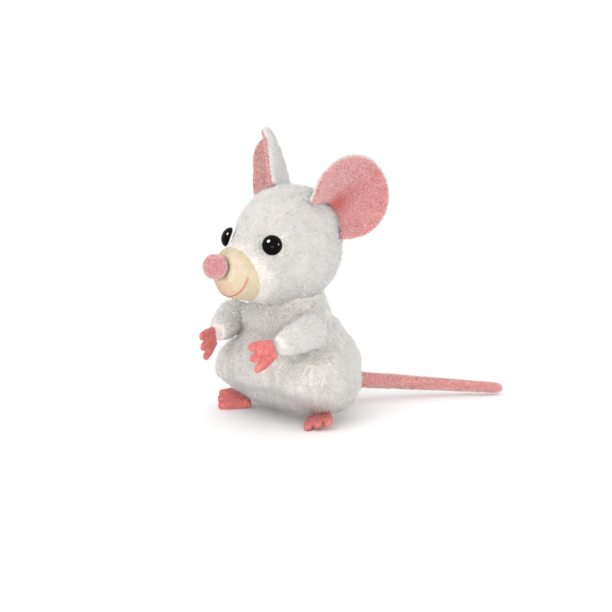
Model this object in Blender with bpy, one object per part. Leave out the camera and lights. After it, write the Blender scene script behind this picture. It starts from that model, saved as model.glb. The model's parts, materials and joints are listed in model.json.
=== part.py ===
"""Sewn plush mouse, sitting upright, as its separate sewn, stuffed and fitted pieces.

The scene is in metres with +Z up. The mouse faces -Y, its left side is +X, and the origin is the
centre of the flat panel that it sits on. Every pair is made once for each side by a loop.
"""

import math

import bmesh
import bpy
from mathutils import Vector
from mathutils.bvhtree import BVHTree

MM = 0.001                  # the tables and sizes below are in millimetres
WALL = 1.5                  # plush fabric with its backing
GAP = 0.4                   # clearance between neighbouring pieces
POLE_SIZE = 0.01            # a ring smaller than this closes in one point
SEGMENTS = 24               # sides of the body and of the head
SMALL_SEGMENTS = 16         # sides of the limbs and of the small round pieces
SIDES = {"left": 1, "right": -1}

# Body: (height, centre y, radius) from the base ring up to the neck ring.
BODY_SECTIONS = [(0.3, 0, 20.8), (2.6, 0, 24.2), (7, 0, 27.2), (13.8, 0, 30.4), (21, 0, 32.9),
                 (27, 0, 33.6), (33, 0, 31.9), (41, 0, 26.6), (47, -0.8, 22.6), (51, -1.8, 19.2),
                 (53.6, -2.6, 16.2), (55, -3.2, 13.6)]
BASE_RADIUS = 18.9
BASE_THICKNESS = 1.5
PELLET_RADIUS = 14.5
PELLET_TOP = 14.0

# Head: (y, centre height, half width, half height, backward lean) from the muzzle seam to the nape.
HEAD_SECTIONS = [(-38, 79.5, 13.8, 15.5, 0.28), (-33, 82, 16.0, 19.2, 0.2), (-25, 84.6, 20, 25.3, 0.08),
                 (-15, 86.2, 24.2, 29.2, 0), (-5, 86.6, 26.2, 30.4, 0), (5, 86.8, 25.2, 28.8, 0),
                 (13, 87, 21, 24.4, 0), (18, 87, 15, 18, 0), (20.6, 87, 8.4, 10, 0),
                 (21.4, 87, 3.8, 4.4, 0), (21.6, 87, 0, 0, 0)]
MUZZLE_SECTIONS = [(-52.4, 81, 0, 0, 0.1), (-52, 81, 3.4, 3.4, 0.1), (-50, 80.2, 7.2, 7.4, 0.15),
                   (-46, 79, 10.6, 11.2, 0.2), (-42, 78.8, 12.5, 13.6, 0.25),
                   (-38.4, 79.4, 13.7, 15.3, 0.28)]
NOSE_CENTRE = (0, -54.2, 82.2)
NOSE_RADIUS = 6.4
EYE_TARGET = (15.2, -30.5, 91.6)
EYE_RADIUS = 5.0
EYE_HEIGHT = 4.0
EYE_RIM_HEIGHT = 0.4        # where the dome is widest
EYE_FOOT_RADIUS = 4.7
EYE_ROWS = 5
STEM_RADIUS = 1.2
STEM_LENGTH = 7.0
WASHER_RADIUS = 3.2
WASHER_THICKNESS = 1.0
MUZZLE_WALL = 1.0
MOUTH_REACH = 82            # degrees either side of straight down
MOUTH_RADIUS = 12.0
MOUTH_CENTRE = (0, -45.2, 79)
MOUTH_SWEEP = 2.6           # how far back the corners of the smile are carried
MOUTH_POINTS = 13
THREAD_RADIUS = 0.4
THREAD_SIDES = 5

# Neck: a ball of stuffing that the head turns and nods on, with a stem in the body.
NECK_CENTRE = (0, -3.5, 60)
NECK_BALL_RADIUS = 10.8
NECK_STEM_RADIUS = 7.5
NECK_STEM_FOOT = 49.5
NECK_THREAD_CENTRE = (0, -2.5, 53.2)   # gathering thread that closes the body's top
NECK_THREAD_RADIUS = 17.4

# Ears: two cupped layers, bent forward on both sides of a crease and shaped to the head at the root.
# The left ear is sewn on lower and turned further outwards than the right one.
EAR_CENTRES = {"left": (19.7, 14.9, 110.7), "right": (-21.1, 10.1, 118.4)}
EAR_OUTWARDS = {"left": (0.384, 0.596, 0.705), "right": (-0.539, 0.186, 0.822)}
EAR_FACINGS = {"left": (0.881, -0.466, -0.086), "right": (-0.465, -0.879, -0.106)}
EAR_RADIUS = 22.4
EAR_RINGS = (0.3, 0.55, 0.78, 1.0)   # shares of the radius
EAR_SEGMENTS = 32
EAR_WING_ANGLES = (45, 27, 19)       # degrees that each half is bent forward, at the root, middle and tip
EAR_CREASE = 3.0                     # roundness of the crease
EAR_DEPTH = 2.0
EAR_CLEARANCE = 1.6                  # between the ear's root and the head, so that the ear can fold
EAR_HINGE = (-10, 7)                 # outwards and forwards from the ear's centre
EAR_FRONT_THICKNESS = 1.1
EAR_BACK_THICKNESS = 1.6

# Arms: a ball at the shoulder that tapers to the cuff; felt hands.
SHOULDER = (26.8, -16.4, 48.0)
SHOULDER_ROOM = 9.6         # radius of the hole for the shoulder
SLEEVE_WALL = 1.2
CUFF = (21.4, -34.2, 42.0)
ARM_SECTIONS = [(-7.6, 3.4), (-6.2, 5.6), (-3.4, 7.6), (0, 8.4), (4, 8.2), (9, 7.3), (14, 6.2),
                (18.2, 5.3), (18.9, 3.8), (19.1, 0)]
HAND_LENGTH = 13.9
HAND_ROOT_WIDTH = 9.4
HAND_SPREAD = 20            # degrees from the middle finger to the outer edge
HAND_FINGER_LENGTH = 5.2    # depth to which the fingers are cut
HAND_THICKNESS = 1.5

# Legs: stuffed haunches on the body's sides; felt feet that point outwards.
LEG_CENTRE = (24, -10.5, 19.4)
LEG_RADII = (13, 15, 14.2)
FOOT_HEEL = (23.9, -7.4)
FOOT_LENGTH = 17.0
FOOT_ROOT_WIDTH = 9.6
FOOT_SPREAD = 11
FOOT_TOE_LENGTH = 5.6
FOOT_TURN = 45              # degrees outwards from straight ahead
FOOT_HEEL_THICKNESS = 4.0
FOOT_TOE_THICKNESS = 2.2

# Tail: (x, y, height, radius) along its middle line.
TAIL_POINTS = [(-0.9, 27.6, 12.0, 2.2), (-0.5, 29.0, 11.9, 3.6), (0.0, 30.6, 11.7, 4.3),
               (3.2, 39.0, 10.7, 4.25), (12.6, 55.6, 8.6, 3.9), (24.5, 72.5, 6.4, 3.5),
               (37.2, 88.4, 4.7, 3.1), (47.6, 99.8, 3.5, 2.8), (49.4, 101.8, 3.3, 2.0),
               (50.2, 102.7, 3.25, 0)]
TAIL_PIVOT = (0.0, 30.6, 11.7)
TAIL_WALL = 0.9
TAIL_ROOM = 4.9             # radius of the hole for the tail's root

COLOURS = {"white_plush": (0.88, 0.87, 0.85), "cream_velour": (0.88, 0.80, 0.55),
           "pink_terry": (0.78, 0.33, 0.36), "rose_terry": (0.74, 0.30, 0.36),
           "coral_felt": (0.80, 0.26, 0.27), "black_plastic": (0.01, 0.01, 0.012),
           "red_thread": (0.60, 0.05, 0.05), "white_filling": (0.80, 0.80, 0.78),
           "pellet_cloth": (0.62, 0.60, 0.52), "washer_plastic": (0.70, 0.70, 0.68)}
ROUGHNESS = {"black_plastic": 0.08, "washer_plastic": 0.4}


def mm(values):
    """Vector in metres from millimetres."""
    return Vector(values) * MM


def mirrored(values, sign):
    """The same place on the left (sign 1) or on the right (sign -1)."""
    return Vector((values[0] * sign, values[1], values[2])) * MM


def clear_scene():
    """Removes whatever objects the scene holds."""
    for item in list(bpy.data.objects):
        bpy.data.objects.remove(item, do_unlink=True)


def make_materials():
    """One plain material for each kind of cloth, thread, filling and plastic."""
    materials = {}
    for name, colour in COLOURS.items():
        material = bpy.data.materials.new(name)
        material.use_nodes = True
        shader = material.node_tree.nodes["Principled BSDF"]
        shader.inputs["Base Color"].default_value = (*colour, 1)
        shader.inputs["Roughness"].default_value = ROUGHNESS.get(name, 0.9)
        materials[name] = material
    return materials


def loft(rings, segments, cap_start=False, cap_end=False, wrap=False):
    """Skin over oval rings; a ring of no size becomes one vertex."""
    bm = bmesh.new()
    loops = []
    for centre, across, up in rings:
        if across.length < POLE_SIZE * MM:
            loops.append([bm.verts.new(centre)])
            continue
        loop = []
        for index in range(segments):
            angle = 2 * math.pi * index / segments
            loop.append(bm.verts.new(centre + across * math.cos(angle) + up * math.sin(angle)))
        loops.append(loop)
    pairs = list(zip(loops, loops[1:]))
    if wrap:
        pairs.append((loops[-1], loops[0]))
    for lower, upper in pairs:
        for index in range(segments):
            following = (index + 1) % segments
            corners = [lower[index % len(lower)], lower[following % len(lower)],
                       upper[following % len(upper)], upper[index % len(upper)]]
            bm.faces.new(list(dict.fromkeys(corners)))
    if cap_start:
        bm.faces.new(loops[0])
    if cap_end:
        bm.faces.new(loops[-1])
    turn_outwards(bm)
    return bm


def turn_outwards(bm):
    """Makes the faces point away from the middle of the shape."""
    bmesh.ops.recalc_face_normals(bm, faces=bm.faces)
    middle = sum((vert.co for vert in bm.verts), Vector()) / len(bm.verts)
    bm.normal_update()
    outward = sum(face.normal.dot(face.calc_center_median() - middle) * face.calc_area() for face in bm.faces)
    if outward < 0:
        bmesh.ops.reverse_faces(bm, faces=bm.faces)
    bm.normal_update()


def shrink(bm, distance):
    """Moves every face inwards by the distance in millimetres, or outwards where it is negative."""
    bm.normal_update()
    moves = [vert.normal * vert.calc_shell_factor() * distance * MM for vert in bm.verts]
    for vert, move in zip(bm.verts, moves):
        vert.co -= move
    bm.normal_update()
    return bm


def turned(profile, origin, axis, segments, wrap=False):
    """Turned shape from (distance along the axis, radius) pairs in millimetres."""
    axis = Vector(axis).normalized()
    across = axis.orthogonal().normalized()
    up = axis.cross(across)
    rings = [(origin + axis * along * MM, across * radius * MM, up * radius * MM)
             for along, radius in profile]
    return loft(rings, segments, wrap=wrap)


def ball(centre, radii, segments=SMALL_SEGMENTS, rows=9):
    """Ball with its own radius along each axis, in millimetres."""
    rings = []
    for row in range(rows + 1):
        angle = math.pi * row / rows
        size = math.sin(angle) if 0 < row < rows else 0
        middle = centre + Vector((0, 0, -radii[2] * math.cos(angle))) * MM
        rings.append((middle, Vector((radii[0] * size, 0, 0)) * MM, Vector((0, radii[1] * size, 0)) * MM))
    return loft(rings, segments)


def rod(start, end, radius, segments=SMALL_SEGMENTS):
    """Plain round rod between two points, radius in millimetres."""
    length = (end - start).length / MM
    return turned([(0, 0), (0, radius), (length, radius), (length, 0)], start, end - start, segments)


def piece(name, bm, material, origin, parent=None):
    """Object of one mesh, with its own origin, parented to an empty on its joint's axis."""
    for vert in bm.verts:
        vert.co -= origin
    mesh = bpy.data.meshes.new(name)
    bm.to_mesh(mesh)
    bm.free()
    mesh.shade_smooth()
    mesh.set_sharp_from_angle(angle=math.radians(40))
    item = bpy.data.objects.new(name, mesh)
    bpy.context.collection.objects.link(item)
    if material:
        mesh.materials.append(material)
    item.location = origin
    if parent:
        item.parent = parent
        item.location = origin - parent.matrix_world.translation
    return item


def joint_empty(name, place, parent=None):
    """Empty on a joint's axis, which carries what moves with the joint."""
    empty = bpy.data.objects.new(name, None)
    empty.empty_display_size = 5 * MM
    bpy.context.collection.objects.link(empty)
    empty.location = place
    if parent:
        empty.parent = parent
        empty.location = place - parent.matrix_world.translation
    bpy.context.view_layer.update()
    return empty


def cutter(name, bm):
    """Hidden object that only cuts others."""
    item = piece(name, bm, None, Vector())
    item.hide_render = True
    item.display_type = "WIRE"
    return item


def cut(item, *cutters):
    """Takes each cutter's volume away from the object."""
    for tool in cutters:
        modifier = item.modifiers.new("cut_" + tool.name, "BOOLEAN")
        modifier.operation = "DIFFERENCE"
        modifier.object = tool


def give_wall(item, thickness=WALL):
    """Turns a skin into cloth of a thickness, growing inwards."""
    modifier = item.modifiers.new("wall", "SOLIDIFY")
    modifier.thickness = thickness * MM
    modifier.offset = -1
    modifier.use_even_offset = True


def body_rings():
    """Rings of the body's outer shape."""
    return [(mm((0, y, z)), mm((radius, 0, 0)), mm((0, radius, 0))) for z, y, radius in BODY_SECTIONS]


def head_rings(sections):
    """Rings of the head's or the muzzle's outer shape, from front to back."""
    return [(mm((0, y, z)), mm((width, 0, 0)), mm((0, lean * height, height)))
            for y, z, width, height, lean in sections]


def paw_outline(length, root_width, spread, finger_length):
    """Flat outline of three rounded toes or fingers, (forward, sideways) in millimetres."""
    lobes = 3
    steps = 6
    half_angle = math.radians(spread)
    hub = -root_width / 2 / math.tan(half_angle)
    notch = 1 - finger_length / (length - hub)
    points = [(0.0, -root_width / 2)]
    for lobe in range(lobes):
        for step in range(steps + 1):
            inside = 2 * step / steps - 1
            share = (lobe + step / steps) / lobes
            angle = half_angle * (2 * share - 1)
            reach = notch + (1 - notch) * math.sqrt(max(0.0, 1 - inside ** 2))
            if 0 < lobe and step == 0:
                continue
            radius = (length - hub) * reach
            points.append((hub + radius * math.cos(angle), radius * math.sin(angle)))
    points.append((0.0, root_width / 2))
    return points


def slab(points, origin, forward, sideways, upward, bottom, top_at):
    """Flat felt shape between a bottom height and a top height that may change along it."""
    bm = bmesh.new()
    lower = []
    upper = []
    for along, across in points:
        place = origin + (forward * along + sideways * across) * MM
        lower.append(bm.verts.new(place + upward * bottom * MM))
        upper.append(bm.verts.new(place + upward * top_at(along) * MM))
    bm.faces.new(lower)
    bm.faces.new(upper)
    for index in range(len(points)):
        following = (index + 1) % len(points)
        bm.faces.new((lower[index], lower[following], upper[following], upper[index]))
    turn_outwards(bm)
    return bm


def ear_frame(side):
    """Centre, directions (along the hinge, outwards, facing) and hinge place of one ear."""
    centre = mm(EAR_CENTRES[side])
    outward = Vector(EAR_OUTWARDS[side]).normalized()
    facing = Vector(EAR_FACINGS[side])
    facing = (facing - outward * facing.dot(outward)).normalized()
    along = outward.cross(facing)
    hinge = centre + (outward * EAR_HINGE[0] + facing * EAR_HINGE[1]) * MM
    return centre, along, outward, facing, hinge


def wing_angle(out):
    """How far the ear's halves are bent forward at this distance outwards from its centre."""
    root, middle, tip = EAR_WING_ANGLES
    share = out / EAR_RADIUS
    other = tip if share > 0 else root
    return math.radians(middle + (other - middle) * abs(share))


def ear_layer(side, front, thickness):
    """Cupped layer of an ear, its front face this far in front of the ear's middle surface."""
    centre, along, outward, facing, _hinge = ear_frame(side)
    bm = bmesh.new()

    def vertex(share, angle, height):
        across = EAR_RADIUS * share * math.cos(angle)
        out = EAR_RADIUS * share * math.sin(angle)
        bend = wing_angle(out)
        rise = (math.hypot(across, EAR_CREASE) - EAR_CREASE) * math.sin(bend)
        lift = height + rise - EAR_DEPTH * (1 - share ** 2)
        return bm.verts.new(centre + (along * across * math.cos(bend) + outward * out + facing * lift) * MM)

    skins = []
    for height in (front, front - thickness):
        middle = vertex(0, 0, height)
        loops = [[vertex(share, 2 * math.pi * index / EAR_SEGMENTS, height) for index in range(EAR_SEGMENTS)]
                 for share in EAR_RINGS]
        for index in range(EAR_SEGMENTS):
            following = (index + 1) % EAR_SEGMENTS
            bm.faces.new((middle, loops[0][index], loops[0][following]))
            for inner, outer in zip(loops, loops[1:]):
                bm.faces.new((inner[index], outer[index], outer[following], inner[following]))
        skins.append(loops[-1])
    for index in range(EAR_SEGMENTS):
        following = (index + 1) % EAR_SEGMENTS
        bm.faces.new((skins[0][index], skins[0][following], skins[1][following], skins[1][index]))
    bmesh.ops.recalc_face_normals(bm, faces=bm.faces)
    return bm


def build_body(materials):
    """Body cover, its base panel, the stuffing and the pellet bag that weighs down the seat."""
    neck = mm(NECK_CENTRE)
    shoulders = [cutter(f"shoulder_{side}_room", ball(mirrored(SHOULDER, sign), (SHOULDER_ROOM,) * 3))
                 for side, sign in SIDES.items()]
    tail_room = cutter("tail_room", ball(mm(TAIL_PIVOT), (TAIL_ROOM,) * 3))
    neck_room = cutter("neck_room", ball(neck, (NECK_BALL_RADIUS + GAP,) * 3))
    stem_foot = Vector((neck.x, neck.y, (NECK_STEM_FOOT - GAP) * MM))
    stem_room = cutter("stem_room", rod(stem_foot, neck, NECK_STEM_RADIUS + GAP))
    pellet_room = cutter("pellet_room", rod(Vector((0, 0, -1 * MM)), mm((0, 0, PELLET_TOP + GAP)),
                                            PELLET_RADIUS + GAP))

    cover = piece("body_cover", loft(body_rings(), SEGMENTS), materials["white_plush"], Vector())
    give_wall(cover)
    cut(cover, *shoulders, tail_room)

    stuffing = shrink(loft(body_rings(), SEGMENTS, cap_start=True, cap_end=True), WALL + GAP)
    filling = piece("body_filling", stuffing, materials["white_filling"], Vector())
    cut(filling, *shoulders, tail_room, neck_room, stem_room, pellet_room)

    panel = turned([(0, 0), (0, BASE_RADIUS), (BASE_THICKNESS, BASE_RADIUS), (BASE_THICKNESS, 0)],
                   Vector(), (0, 0, 1), SEGMENTS)
    piece("base_panel", panel, materials["white_plush"], Vector())

    low = BASE_THICKNESS + GAP
    bag_profile = [(low, 0), (low, PELLET_RADIUS * 0.8), (low + 2.2, PELLET_RADIUS),
                   (PELLET_TOP - 3, PELLET_RADIUS), (PELLET_TOP - 0.8, PELLET_RADIUS * 0.75), (PELLET_TOP, 0)]
    bag = turned(bag_profile, Vector(), (0, 0, 1), SMALL_SEGMENTS)
    piece("pellet_bag", bag, materials["pellet_cloth"], Vector())

    ring = []
    for index in range(THREAD_SIDES):
        angle = 2 * math.pi * index / THREAD_SIDES
        ring.append((THREAD_RADIUS * math.sin(angle), NECK_THREAD_RADIUS + THREAD_RADIUS * math.cos(angle)))
    middle = mm(NECK_THREAD_CENTRE)
    thread = turned(ring, middle, (0, 0, 1), SEGMENTS, wrap=True)
    piece("neck_thread", thread, materials["white_filling"], middle)


def build_neck(materials, turn_empty):
    """Ball of stuffing between the body and the head."""
    neck = mm(NECK_CENTRE)
    rows = 8
    profile = [(NECK_STEM_FOOT - NECK_CENTRE[2], 0), (NECK_STEM_FOOT - NECK_CENTRE[2], NECK_STEM_RADIUS)]
    meeting = math.sqrt(NECK_BALL_RADIUS ** 2 - NECK_STEM_RADIUS ** 2)
    start = math.atan2(NECK_STEM_RADIUS, meeting)
    for row in range(rows + 1):
        angle = start + (math.pi - start) * row / rows
        radius = NECK_BALL_RADIUS * math.sin(angle) if row < rows else 0
        profile.append((-NECK_BALL_RADIUS * math.cos(angle), radius))
    stuffing = turned(profile, neck, (0, 0, 1), SMALL_SEGMENTS)
    piece("neck_filling", stuffing, materials["white_filling"], neck, turn_empty)


def build_head(materials, head_empty):
    """Head cover, muzzle panel, stuffing, nose, stitched mouth and the eyes with their washers."""
    neck = mm(NECK_CENTRE)
    nose_centre = mm(NOSE_CENTRE)
    whole = MUZZLE_SECTIONS[:-1] + HEAD_SECTIONS
    skin = loft(head_rings(whole), SEGMENTS)
    tree = BVHTree.FromBMesh(skin)
    neck_room = cutter("head_neck_room", ball(neck, (NECK_BALL_RADIUS + GAP,) * 3))
    nose_room = cutter("nose_room", ball(nose_centre, (NOSE_RADIUS + GAP,) * 3))
    stem_rooms = []
    washer_rooms = []
    eye_frames = {}
    for side, sign in SIDES.items():
        place, normal, _index, _distance = tree.find_nearest(mirrored(EYE_TARGET, sign))
        eye_frames[side] = (place, normal)
        inner = place - normal * (STEM_LENGTH + 1) * MM
        stem_rooms.append(cutter(f"stem_{side}_room", rod(inner, place + normal * 3 * MM,
                                                          STEM_RADIUS + GAP, 10)))
        washer_rooms.append(cutter(f"washer_{side}_room", rod(inner, place + normal * 3 * MM,
                                                              WASHER_RADIUS + GAP)))

    plush = loft(head_rings(HEAD_SECTIONS), SEGMENTS)
    cover = piece("head_cover", plush, materials["white_plush"], neck, head_empty)
    give_wall(cover)
    cut(cover, neck_room, *stem_rooms)

    muzzle = loft(head_rings(MUZZLE_SECTIONS), SEGMENTS)
    panel = piece("muzzle_panel", muzzle, materials["cream_velour"], neck, head_empty)
    give_wall(panel, MUZZLE_WALL)
    cut(panel, nose_room)

    filling = piece("head_filling", shrink(skin, WALL + GAP), materials["white_filling"], neck, head_empty)
    cut(filling, neck_room, nose_room, *washer_rooms)

    nose = ball(nose_centre, (NOSE_RADIUS, NOSE_RADIUS * 0.92, NOSE_RADIUS * 0.98))
    piece("nose", nose, materials["rose_terry"], nose_centre, head_empty)
    build_mouth(materials, tree, head_empty)
    for side, (place, normal) in eye_frames.items():
        build_eye(side, place, normal, materials, head_empty)


def build_mouth(materials, tree, head_empty):
    """Smile of one embroidered thread that lies on the muzzle."""
    curve = bpy.data.curves.new("mouth_stitch", "CURVE")
    curve.dimensions = "3D"
    curve.bevel_depth = THREAD_RADIUS * MM
    curve.bevel_resolution = 2
    curve.use_fill_caps = True
    line = curve.splines.new("POLY")
    line.points.add(MOUTH_POINTS - 1)
    for index in range(MOUTH_POINTS):
        swing = math.radians(MOUTH_REACH) * (2 * index / (MOUTH_POINTS - 1) - 1)
        round_under = Vector((math.sin(swing), 0, -math.cos(swing))) * MOUTH_RADIUS
        back = Vector((0, MOUTH_SWEEP * (1 - math.cos(swing)), 0))
        target = (Vector(MOUTH_CENTRE) + round_under + back) * MM
        place, normal, _index, _distance = tree.find_nearest(target)
        place = place + normal * (THREAD_RADIUS + GAP) * MM
        line.points[index].co = (*place, 1)
    item = bpy.data.objects.new("mouth_stitch", curve)
    bpy.context.collection.objects.link(item)
    curve.materials.append(materials["red_thread"])
    item.parent = head_empty
    item.location = -head_empty.matrix_world.translation


def build_eye(side, place, normal, materials, head_empty):
    """Domed plastic eye on a stem, held inside the head by a washer."""
    profile = [(-STEM_LENGTH, 0), (-STEM_LENGTH, STEM_RADIUS), (GAP, STEM_RADIUS), (GAP, EYE_FOOT_RADIUS)]
    for row in range(EYE_ROWS):
        angle = 0.5 * math.pi * row / EYE_ROWS
        height = EYE_RIM_HEIGHT + (EYE_HEIGHT - EYE_RIM_HEIGHT) * math.sin(angle)
        profile.append((GAP + height, EYE_RADIUS * math.cos(angle)))
    profile.append((GAP + EYE_HEIGHT, 0))
    dome = turned(profile, place, normal, SMALL_SEGMENTS)
    piece(f"eye_{side}", dome, materials["black_plastic"], place, head_empty)

    outer_face = -(WALL + 3 * GAP)
    inner_face = outer_face - WASHER_THICKNESS
    bore = STEM_RADIUS + GAP * 0.8
    ring = [(inner_face, bore), (inner_face, WASHER_RADIUS), (outer_face, WASHER_RADIUS), (outer_face, bore)]
    washer = turned(ring, place, normal, SMALL_SEGMENTS, wrap=True)
    piece(f"eye_washer_{side}", washer, materials["washer_plastic"], place, head_empty)


def build_ear(side, materials, head_empty):
    """Pink front and white back of one ear, on an empty at its hinge."""
    hinge = ear_frame(side)[-1]
    empty = joint_empty(f"ear_{side}_hinge", hinge, head_empty)
    half = (EAR_FRONT_THICKNESS + EAR_BACK_THICKNESS + GAP) / 2
    whole_head = loft(head_rings(MUZZLE_SECTIONS[:-1] + HEAD_SECTIONS), SEGMENTS)
    head_room = cutter(f"ear_{side}_head_room", shrink(whole_head, -EAR_CLEARANCE))
    front = ear_layer(side, half, EAR_FRONT_THICKNESS)
    cut(piece(f"ear_front_{side}", front, materials["pink_terry"], hinge, empty), head_room)
    back = ear_layer(side, half - EAR_FRONT_THICKNESS - GAP, EAR_BACK_THICKNESS)
    cut(piece(f"ear_back_{side}", back, materials["white_plush"], hinge, empty), head_room)


def build_arm(side, materials):
    """Stuffed arm on its shoulder, with a felt hand that flaps at the cuff."""
    sign = SIDES[side]
    shoulder = mirrored(SHOULDER, sign)
    forward = (mirrored(CUFF, sign) - shoulder).normalized()
    upward = (Vector((0, 0, 1)) - forward * forward.z).normalized()
    sideways = forward.cross(upward)
    empty = joint_empty(f"shoulder_{side}", shoulder)
    rings = [(shoulder + forward * along * MM, sideways * radius * MM, upward * radius * MM)
             for along, radius in ARM_SECTIONS]
    sleeve = piece(f"arm_cover_{side}", loft(rings, SMALL_SEGMENTS), materials["white_plush"],
                   shoulder, empty)
    give_wall(sleeve, SLEEVE_WALL)
    stuffing = shrink(loft(rings, SMALL_SEGMENTS, cap_start=True), SLEEVE_WALL + GAP)
    piece(f"arm_filling_{side}", stuffing, materials["white_filling"], shoulder, empty)

    wrist = shoulder + forward * (ARM_SECTIONS[-1][0] + GAP + HAND_THICKNESS / 2) * MM
    hinge = joint_empty(f"wrist_{side}", wrist, empty)
    outline = paw_outline(HAND_LENGTH, HAND_ROOT_WIDTH, HAND_SPREAD, HAND_FINGER_LENGTH)
    hand = slab(outline, wrist, forward, upward, sideways, -HAND_THICKNESS / 2,
                lambda along: HAND_THICKNESS / 2)
    piece(f"hand_{side}", hand, materials["coral_felt"], wrist, hinge)


def build_leg(side, materials, body_room):
    """Stuffed haunch against the body, with a felt foot under it."""
    sign = SIDES[side]
    centre = mirrored(LEG_CENTRE, sign)
    cover = piece(f"leg_cover_{side}", ball(centre, LEG_RADII, 20, 12), materials["white_plush"], centre)
    give_wall(cover)
    cut(cover, body_room)
    inner = [radius - WALL - GAP for radius in LEG_RADII]
    filling = piece(f"leg_filling_{side}", ball(centre, inner), materials["white_filling"], centre)
    cut(filling, body_room)

    turn = math.radians(FOOT_TURN)
    forward = Vector((math.sin(turn) * sign, -math.cos(turn), 0))
    sideways = Vector((math.cos(turn), math.sin(turn) * sign, 0))
    heel = Vector((FOOT_HEEL[0] * sign, FOOT_HEEL[1], 0)) * MM

    def top_at(along):
        share = max(0.0, min(1.0, along / FOOT_LENGTH))
        return FOOT_HEEL_THICKNESS + (FOOT_TOE_THICKNESS - FOOT_HEEL_THICKNESS) * share

    outline = paw_outline(FOOT_LENGTH, FOOT_ROOT_WIDTH, FOOT_SPREAD, FOOT_TOE_LENGTH)
    foot = slab(outline, heel, forward, sideways, Vector((0, 0, 1)), 0, top_at)
    cut(piece(f"foot_{side}", foot, materials["coral_felt"], heel), body_room)


def build_tail(materials):
    """Tapered tail tube and its stuffing, on an empty at its root."""
    pivot = mm(TAIL_PIVOT)
    empty = joint_empty("tail_swing", pivot)
    middles = [mm(point[:3]) for point in TAIL_POINTS]
    rings = []
    for index, point in enumerate(TAIL_POINTS):
        ahead = middles[min(index + 1, len(middles) - 1)] - middles[max(index - 1, 0)]
        across = ahead.cross(Vector((0, 0, 1))).normalized()
        upward = across.cross(ahead).normalized()
        rings.append((middles[index], across * point[3] * MM, upward * point[3] * MM))
    cover = piece("tail_cover", loft(rings, SMALL_SEGMENTS), materials["pink_terry"], pivot, empty)
    give_wall(cover, TAIL_WALL)
    stuffing = shrink(loft(rings, SMALL_SEGMENTS, cap_start=True), TAIL_WALL + GAP)
    piece("tail_filling", stuffing, materials["white_filling"], pivot, empty)


def main():
    """Builds the whole mouse."""
    clear_scene()
    materials = make_materials()
    build_body(materials)
    turn_empty = joint_empty("neck_turn", mm(NECK_CENTRE))
    head_empty = joint_empty("head_nod", mm(NECK_CENTRE), turn_empty)
    build_neck(materials, turn_empty)
    build_head(materials, head_empty)
    body_room = cutter("body_room", shrink(loft(body_rings(), SEGMENTS, cap_start=True, cap_end=True), -GAP))
    for side in SIDES:
        build_ear(side, materials, head_empty)
        build_arm(side, materials)
        build_leg(side, materials, body_room)
    build_tail(materials)


main()
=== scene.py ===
"""Looks of a sewn plush mouse: stuffed forms, combed pile, terry, felt, thread and domed eyes.

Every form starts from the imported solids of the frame, in metres. The mouse faces -Y, its left side
is +X, and +Z is up. Sizes in the classes are millimetres unless their names say otherwise.
"""

from __future__ import annotations

import json
import logging
import math
from dataclasses import dataclass, field
from enum import Enum
from functools import lru_cache
from typing import Callable, Iterable, Sequence

import bmesh
import bpy
import numpy as np
from mathutils import Matrix, Vector, noise
from mathutils.bvhtree import BVHTree

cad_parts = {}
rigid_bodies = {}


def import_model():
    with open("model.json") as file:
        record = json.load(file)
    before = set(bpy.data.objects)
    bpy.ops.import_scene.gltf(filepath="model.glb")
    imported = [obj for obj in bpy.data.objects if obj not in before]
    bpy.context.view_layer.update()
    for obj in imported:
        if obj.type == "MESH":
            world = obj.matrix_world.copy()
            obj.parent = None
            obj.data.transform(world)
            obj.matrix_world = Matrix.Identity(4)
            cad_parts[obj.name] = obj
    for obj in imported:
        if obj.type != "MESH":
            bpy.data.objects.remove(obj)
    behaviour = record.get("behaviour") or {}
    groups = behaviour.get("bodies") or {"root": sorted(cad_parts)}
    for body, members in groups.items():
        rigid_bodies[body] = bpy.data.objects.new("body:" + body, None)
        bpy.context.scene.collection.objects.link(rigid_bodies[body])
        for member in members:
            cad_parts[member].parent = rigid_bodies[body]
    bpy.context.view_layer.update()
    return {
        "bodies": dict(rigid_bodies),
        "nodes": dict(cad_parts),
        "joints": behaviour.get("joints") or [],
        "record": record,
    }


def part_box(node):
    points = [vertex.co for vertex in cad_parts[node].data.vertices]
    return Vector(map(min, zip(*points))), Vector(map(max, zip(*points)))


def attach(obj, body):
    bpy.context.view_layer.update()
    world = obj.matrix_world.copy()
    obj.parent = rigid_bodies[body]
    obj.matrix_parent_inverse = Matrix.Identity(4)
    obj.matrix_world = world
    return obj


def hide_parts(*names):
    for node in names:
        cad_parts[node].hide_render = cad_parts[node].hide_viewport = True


LOG = logging.getLogger("plush_mouse")
MM = 0.001
SQUARE_MM = MM * MM
SPIKE_TRIANGLES = 4             # a three-sided strand and its foot
PIECE_TRIANGLES = 190_000       # most that one pile piece may hold

Field = Callable[[Vector], Vector]
Weight = Callable[[Vector], float]


class Side(Enum):
    """Side of the mouse, with the sign of its X coordinate."""

    LEFT = 1
    RIGHT = -1

    @property
    def label(self) -> str:
        """Name used in node and body names."""
        return self.name.lower()


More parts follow.
